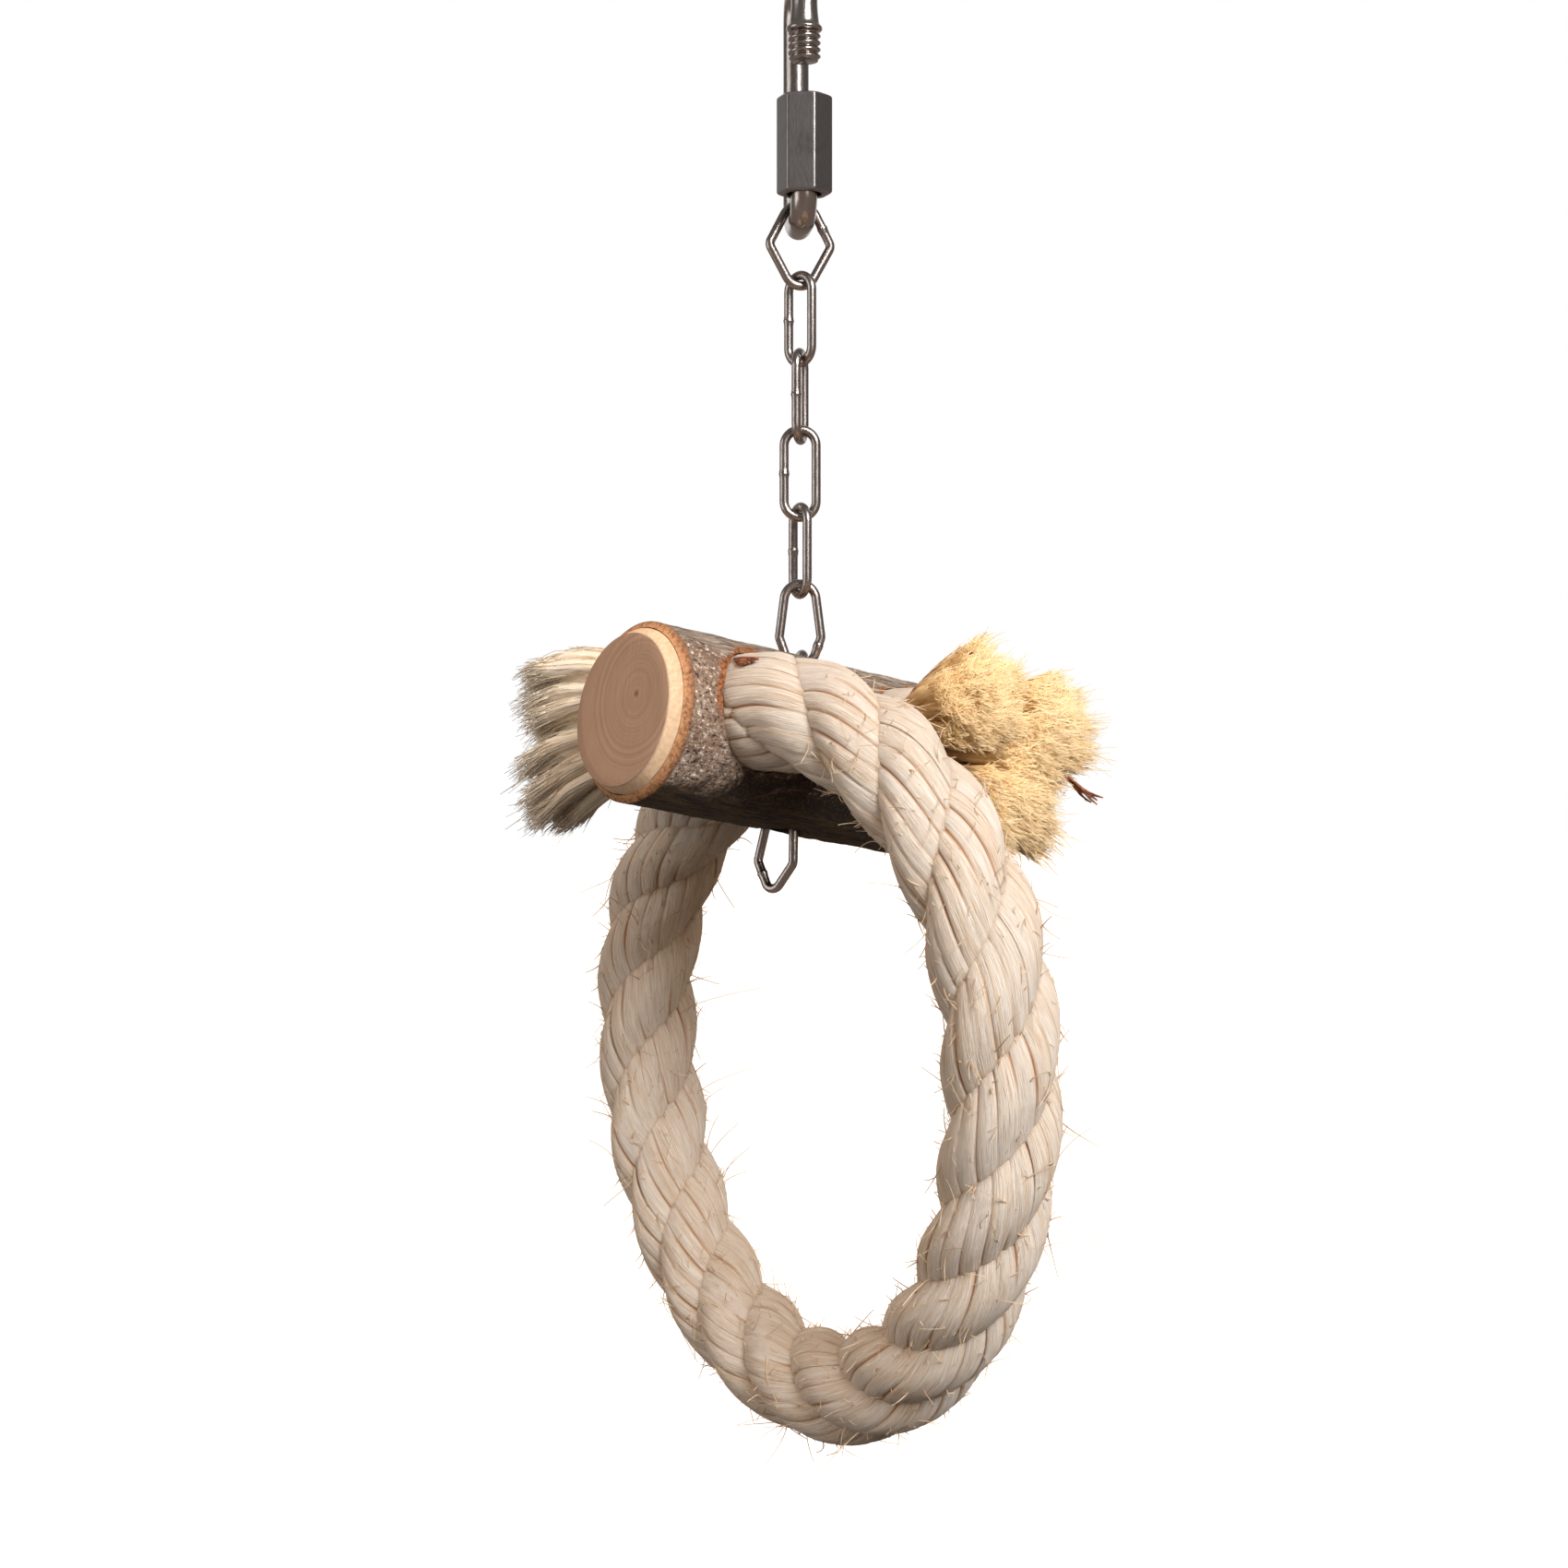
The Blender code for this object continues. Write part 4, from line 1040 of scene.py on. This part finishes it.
def lobe_fibres(at, draw, bunches, tuft, start, steps):
    """Fibres round the bunches of a frayed strand, from their starts to its cut end."""
    count = len(start)
    own = draw.integers(0, tuft.bunches, count)
    spin = draw.uniform(0, tau, count)
    far = 1.05 / sqrt(tuft.bunches) * draw.random((count, 1)) ** 0.35
    offset = far * on_circle(spin)
    share = np.linspace(0, 1, steps)
    stray = 0.12 * (draw.random(count) < 0.05)
    end = bunches[1][own] * (draw.uniform(0.88, 0.99, count) + stray)
    along = start[:, None] + (end - start)[:, None] * share
    path = bunch_line(bunches, own, along, tuft)
    path = path + offset[:, None] * (0.9 + 0.5 * along**2)[..., None]
    pace = draw.uniform(5, 16, (count, 1, 2))
    phase = draw.uniform(0, tau, (count, 1, 2))
    growth = (along.clip(0) ** 1.5)[..., None]
    path = path + tuft.curl * np.sin(along[..., None] * pace + phase) * growth
    splay = draw.standard_normal((count, 1, 2))
    path = path + 1.6 * tuft.curl * splay * (share**2 * along)[..., None]
    radii = draw.uniform(*TUFT_RADII, (count, 1)) * (1 - 0.6 * share**2)
    points, faces = fibre_mesh(at(along, path), radii)
    return points, faces, fibre_marks(draw.random(count), along)


def frayed_lobe(end, turn, tuft):
    """A function that places points of a frayed strand, which widens from the rope's end.

    It takes shares of the length, and offsets in a section of radius 1 round the strand's middle.
    """
    place, outward = end
    across, up = rope_axes(outward)
    axes = np.stack((across, up, outward))
    middle = TUFT_FILL * on_circle(turn)

    def at(share, offset):
        wide = np.clip(share, 0, None) ** TUFT_FLARE
        size = ROPE_RADIUS / 2 + (tuft.spread - ROPE_RADIUS) / 2 * wide
        flat = size[..., None] * (middle + TUFT_FILL * offset)
        local = np.concatenate((flat, share[..., None] * tuft.length), axis=-1)
        return place + local @ axes + (share**2)[..., None] * np.array((0, 0, -tuft.droop))

    return at


def soften(piece, heart, weight):
    """Shades a tuft partly as one soft body round its heart, and partly as separate fibres."""
    mesh = piece.data
    count = len(mesh.vertices)
    points, normals = np.zeros((2, count * 3))
    mesh.vertices.foreach_get("co", points)
    mesh.vertex_normals.foreach_get("vector", normals)
    away = unit(points.reshape(-1, 3) - heart)
    softened = unit(normals.reshape(-1, 3) + weight * away)
    mesh.normals_split_custom_set_from_vertices(softened.tolist())


def frayed_end(line, side, tuft):
    """The three combed strands at one end of the rope."""
    places, directions, lengths = line
    end = (places[tuft.end], tuft.sense * directions[tuft.end])
    material = straw_material(f"frayed_{side}", *tuft.tones)
    for number in range(STRANDS):
        draw = np.random.default_rng(TUFT_SEED + number + 10 * tuft.sense)
        lay = lengths[tuft.end] / ROPE_LAY + number / STRANDS
        at = frayed_lobe(end, tuft.sense * tau * lay + tuft.spins[number], tuft)
        bunches = lobe_bunches(draw, tuft)
        late = draw.random(tuft.fibres) > 0.6
        starts = np.where(late, draw.uniform(0.3, 0.6, tuft.fibres), TUFT_ROOT)
        pile = draw.uniform(0.5, 0.78, tuft.pile)
        points, faces, marks = joined(
            lobe_cores(at, draw, bunches, tuft),
            lobe_fibres(at, draw, bunches, tuft, starts, 8),
            lobe_fibres(at, draw, bunches, tuft, pile, 5),
        )
        nodes = [f"frayed_end_{side}_{number + 1}"]
        name = f"{side}_tuft_{number + 1}"
        attributes = {"fibre": marks}
        piece = add_piece(name, points, faces, material, "swing", nodes, attributes)
        soften(piece, at(np.array(TUFT_HEART), np.zeros(2)), tuft.soft)


def brown_piece(name, paths, thickness, material):
    """Short sticks along paths (stick, step, xyz), thinner at their ends."""
    share = np.linspace(-1, 1, paths.shape[1])
    radii = np.repeat(thickness / 2 * (1 - 0.55 * share**2)[None], len(paths), axis=0)
    points, faces = fibre_mesh(paths, radii, 5)
    add_piece(name, points, faces, material, "swing")


def brown_bits(line, material):
    """Sticks caught in the front tuft, splinters over the near bore, and a speck on the ring."""
    places, directions, _ = line
    draw = np.random.default_rng(BITS_SEED)
    share = np.linspace(0, 1, 6)[None, :, None]
    number = np.arange(BITS)[:, None, None]
    right, ahead, up = np.array((VIEW_RIGHT, VIEW_AHEAD, (0.0, 0.0, 1.0)))
    lean = right + 0.5 * ahead - 0.75 * up + 0.22 * draw.standard_normal((BITS, 3))
    root = np.array(STICK_PLACE) + STICK_JITTER * draw.standard_normal((BITS, 1, 3))
    bend = STICK_JITTER * np.sin(5 * share + number) * up
    paths = root + STICK_LENGTH * share * unit(lean)[:, None] + bend
    brown_piece("tuft_sticks", paths, STICK_THICKNESS, material)
    start, end = np.array((SPLINTER_START, SPLINTER_END))
    root = start + number * np.array(SPLINTER_STEP)
    paths = root + (end - start) * (0.12 * number + share * (1 - 0.22 * number))
    brown_piece("bore_splinters", paths, SPLINTER_THICKNESS, material)
    row = np.argmin(np.where(places[:, 1] < 0, np.abs(places[:, 2] - SPECK_HEIGHT), 1.0))
    root = places[row] + (ROPE_RADIUS - SPECK_SINK) * right
    paths = root + SPECK_LENGTH * (share - 0.5) * unit(directions[row] + 0.6 * right)
    brown_piece("ring_speck", paths, SPECK_THICKNESS, material)


def loose_fibres(line):
    """Fine fibres that stand off the rope outside the branch."""
    places, directions, lengths = line
    draw = np.random.default_rng(LOOSE_SEED)
    each = (LOOSE_FIBRES, 1)
    across, up = rope_axes(directions)
    row = draw.integers(*LOOSE_ROWS, LOOSE_FIBRES)
    turn = draw.uniform(0, tau, LOOSE_FIBRES)
    radius = rope_reach(turn, lengths[row]) + 0.7 * YARN_RELIEF
    radial = np.cos(turn)[:, None] * across[row] + np.sin(turn)[:, None] * up[row]
    side = np.cross(directions[row], radial)
    root = places[row] + radius[:, None] * radial
    sense = draw.choice((-1.0, 1.0), each)
    heading = unit(sense * directions[row] + draw.normal(0, 0.6, each) * side)
    rise = draw.uniform(0.05, 0.7, each) ** 1.5
    span = draw.gamma(1.8, 0.0022, each).clip(*LOOSE_LENGTHS)
    bend = draw.normal(0, 0.5, each) * side + draw.normal(0.1, 0.35, each) * radial
    share = np.linspace(0, 1, 8)[None, :, None]
    straight = share * (heading * (1 - rise) + radial * rise)[:, None]
    paths = root[:, None] + span[:, None] * (straight + share**2 * bend[:, None])
    radii = draw.uniform(*LOOSE_RADII, each) * (1 - 0.5 * share[..., 0])
    points, faces = fibre_mesh(paths, radii)
    tone = draw.uniform(0.4, 1.0, LOOSE_FIBRES)
    marks = fibre_marks(tone, np.repeat(0.3 + 0.7 * share[..., 0], LOOSE_FIBRES, axis=0))
    pale = straw_material("loose_sisal", (176, 140, 100), (212, 184, 148), (240, 222, 196))
    add_piece("loose_fibres", points, faces, pale, "swing", (), {"fibre": marks})


# Stage


def camera():
    """The photograph's level view of the swing."""
    ahead, right = Vector(VIEW_AHEAD), Vector(VIEW_RIGHT)
    data = bpy.data.cameras.new("camera")
    data.sensor_width = SENSOR
    data.lens = SENSOR * FOCAL_PIXELS / IMAGE_PIXELS
    data.clip_start = CLIP_START
    view = add_object("camera", data)
    place = Vector((0, 0, VIEW_HEIGHT))
    view.location = place - ahead * VIEW_DISTANCE - right * VIEW_LEFT_OF_CHAIN
    view.rotation_euler = ahead.to_track_quat("-Z", "Y").to_euler()
    bpy.context.scene.camera = view


def lamp(name, kind, place, **settings):
    """A lamp towards the swing, at a place given as right, front and up in the view."""
    right, front, up = place
    offset = Vector(VIEW_RIGHT) * right - Vector(VIEW_AHEAD) * front + Vector((0, 0, up))
    item = add_object(name, changed(bpy.data.lights.new(name, kind), settings))
    item.location = Vector(LAMP_AIM) + offset
    item.rotation_euler = (-offset).to_track_quat("-Z", "Y").to_euler()


def lights():
    """A broad key at the view's upper right, a tall strip by the camera, a fill at the left."""
    lamp("key", "SUN", (0.55, 0.95, 0.65), energy=3.5, angle=radians(28))
    panel = {"shape": "RECTANGLE"}
    lamp("strip", "AREA", (0.55, 1.15, 0.25), **panel, energy=1.8, size=0.2, size_y=1.0)
    lamp("fill", "AREA", (-1.1, 0.35, 0.1), **panel, energy=3.4, size=0.7, size_y=0.9)


def world():
    """White behind the object, for the camera and in reflections, and a dim room elsewhere."""
    studio = bpy.data.worlds.new("studio")
    bpy.context.scene.world = studio
    studio.use_nodes = True
    background = studio.node_tree.nodes["Background"]
    rays = source(background, "LightPath")
    seen = calculate("MAXIMUM", rays["Is Camera Ray"], rays["Is Transmission Ray"])
    direction = source(background, "TexCoord")["Generated"]
    facing = node("VectorMath", {0: direction, 1: VIEW_AHEAD}, operation="DOT_PRODUCT")
    rise = level(parts_of(direction)[2], -0.6, 0.9)
    room = mix(rise, colour(78, 74, 72), colour(128, 124, 122))
    mirrored = mix(level(facing.outputs["Value"], 0.7, 0.85), room, WHITE)
    shown = mix(rays["Is Glossy Ray"], colour(190, 160, 130), mirrored)
    fill(background, {"Color": mix(seen, shown, WHITE)})


def floor():
    """A pale floor well below the swing, which throws little light back up at it."""
    values = {"Roughness": 0.9, "Specular IOR Level": 0.1, "Emission Color": WHITE}
    material, shader = new_material("floor", values)
    patch = grain(object_place(shader), 3.0)
    tint = ramp(patch, (0.3, 236, 236, 236), (0.7, 240, 240, 240))
    rays = source(shader, "LightPath")
    mirrored = mix(rays["Is Glossy Ray"], tint, colour(132, 128, 130))
    shown = mix(rays["Is Diffuse Ray"], mirrored, colour(56, 52, 48))
    glow = calculate("MULTIPLY", rays["Is Camera Ray"], FLOOR_GLOW)
    fill(shader, {"Base Color": shown, "Emission Strength": glow})
    mesh = bpy.data.meshes.new("floor")
    half = FLOOR_HALF_WIDTH
    corners = [(x * half, y * half, FLOOR_HEIGHT) for x, y in ((-1, -1), (1, -1), (1, 1), (-1, 1))]
    mesh.from_pydata(corners, [], [(0, 1, 2, 3)])
    mesh.materials.append(material)
    plane = add_object("floor", mesh)


camera()
rope_line = rope(rope_material())
frayed_end(rope_line, "back", BACK_TUFT)
frayed_end(rope_line, "front", FRONT_TUFT)
loose_fibres(rope_line)
brown_bits(rope_line, brown_material())
branch(wood_material(), bark_material())
chain(steel_material("chain_wire", colour(168, 158, 152), roughness=0.26, scratch=0.00004))
quick_link(steel_material("rod_steel", colour(172, 164, 158), roughness=0.22, scratch=0.00003))
quick_link_nut(steel_material("nut_steel", colour(150, 145, 143), roughness=0.34, scratch=0.00003))
lights()
world()
floor()
bpy.context.scene.view_settings.view_transform = "Standard"
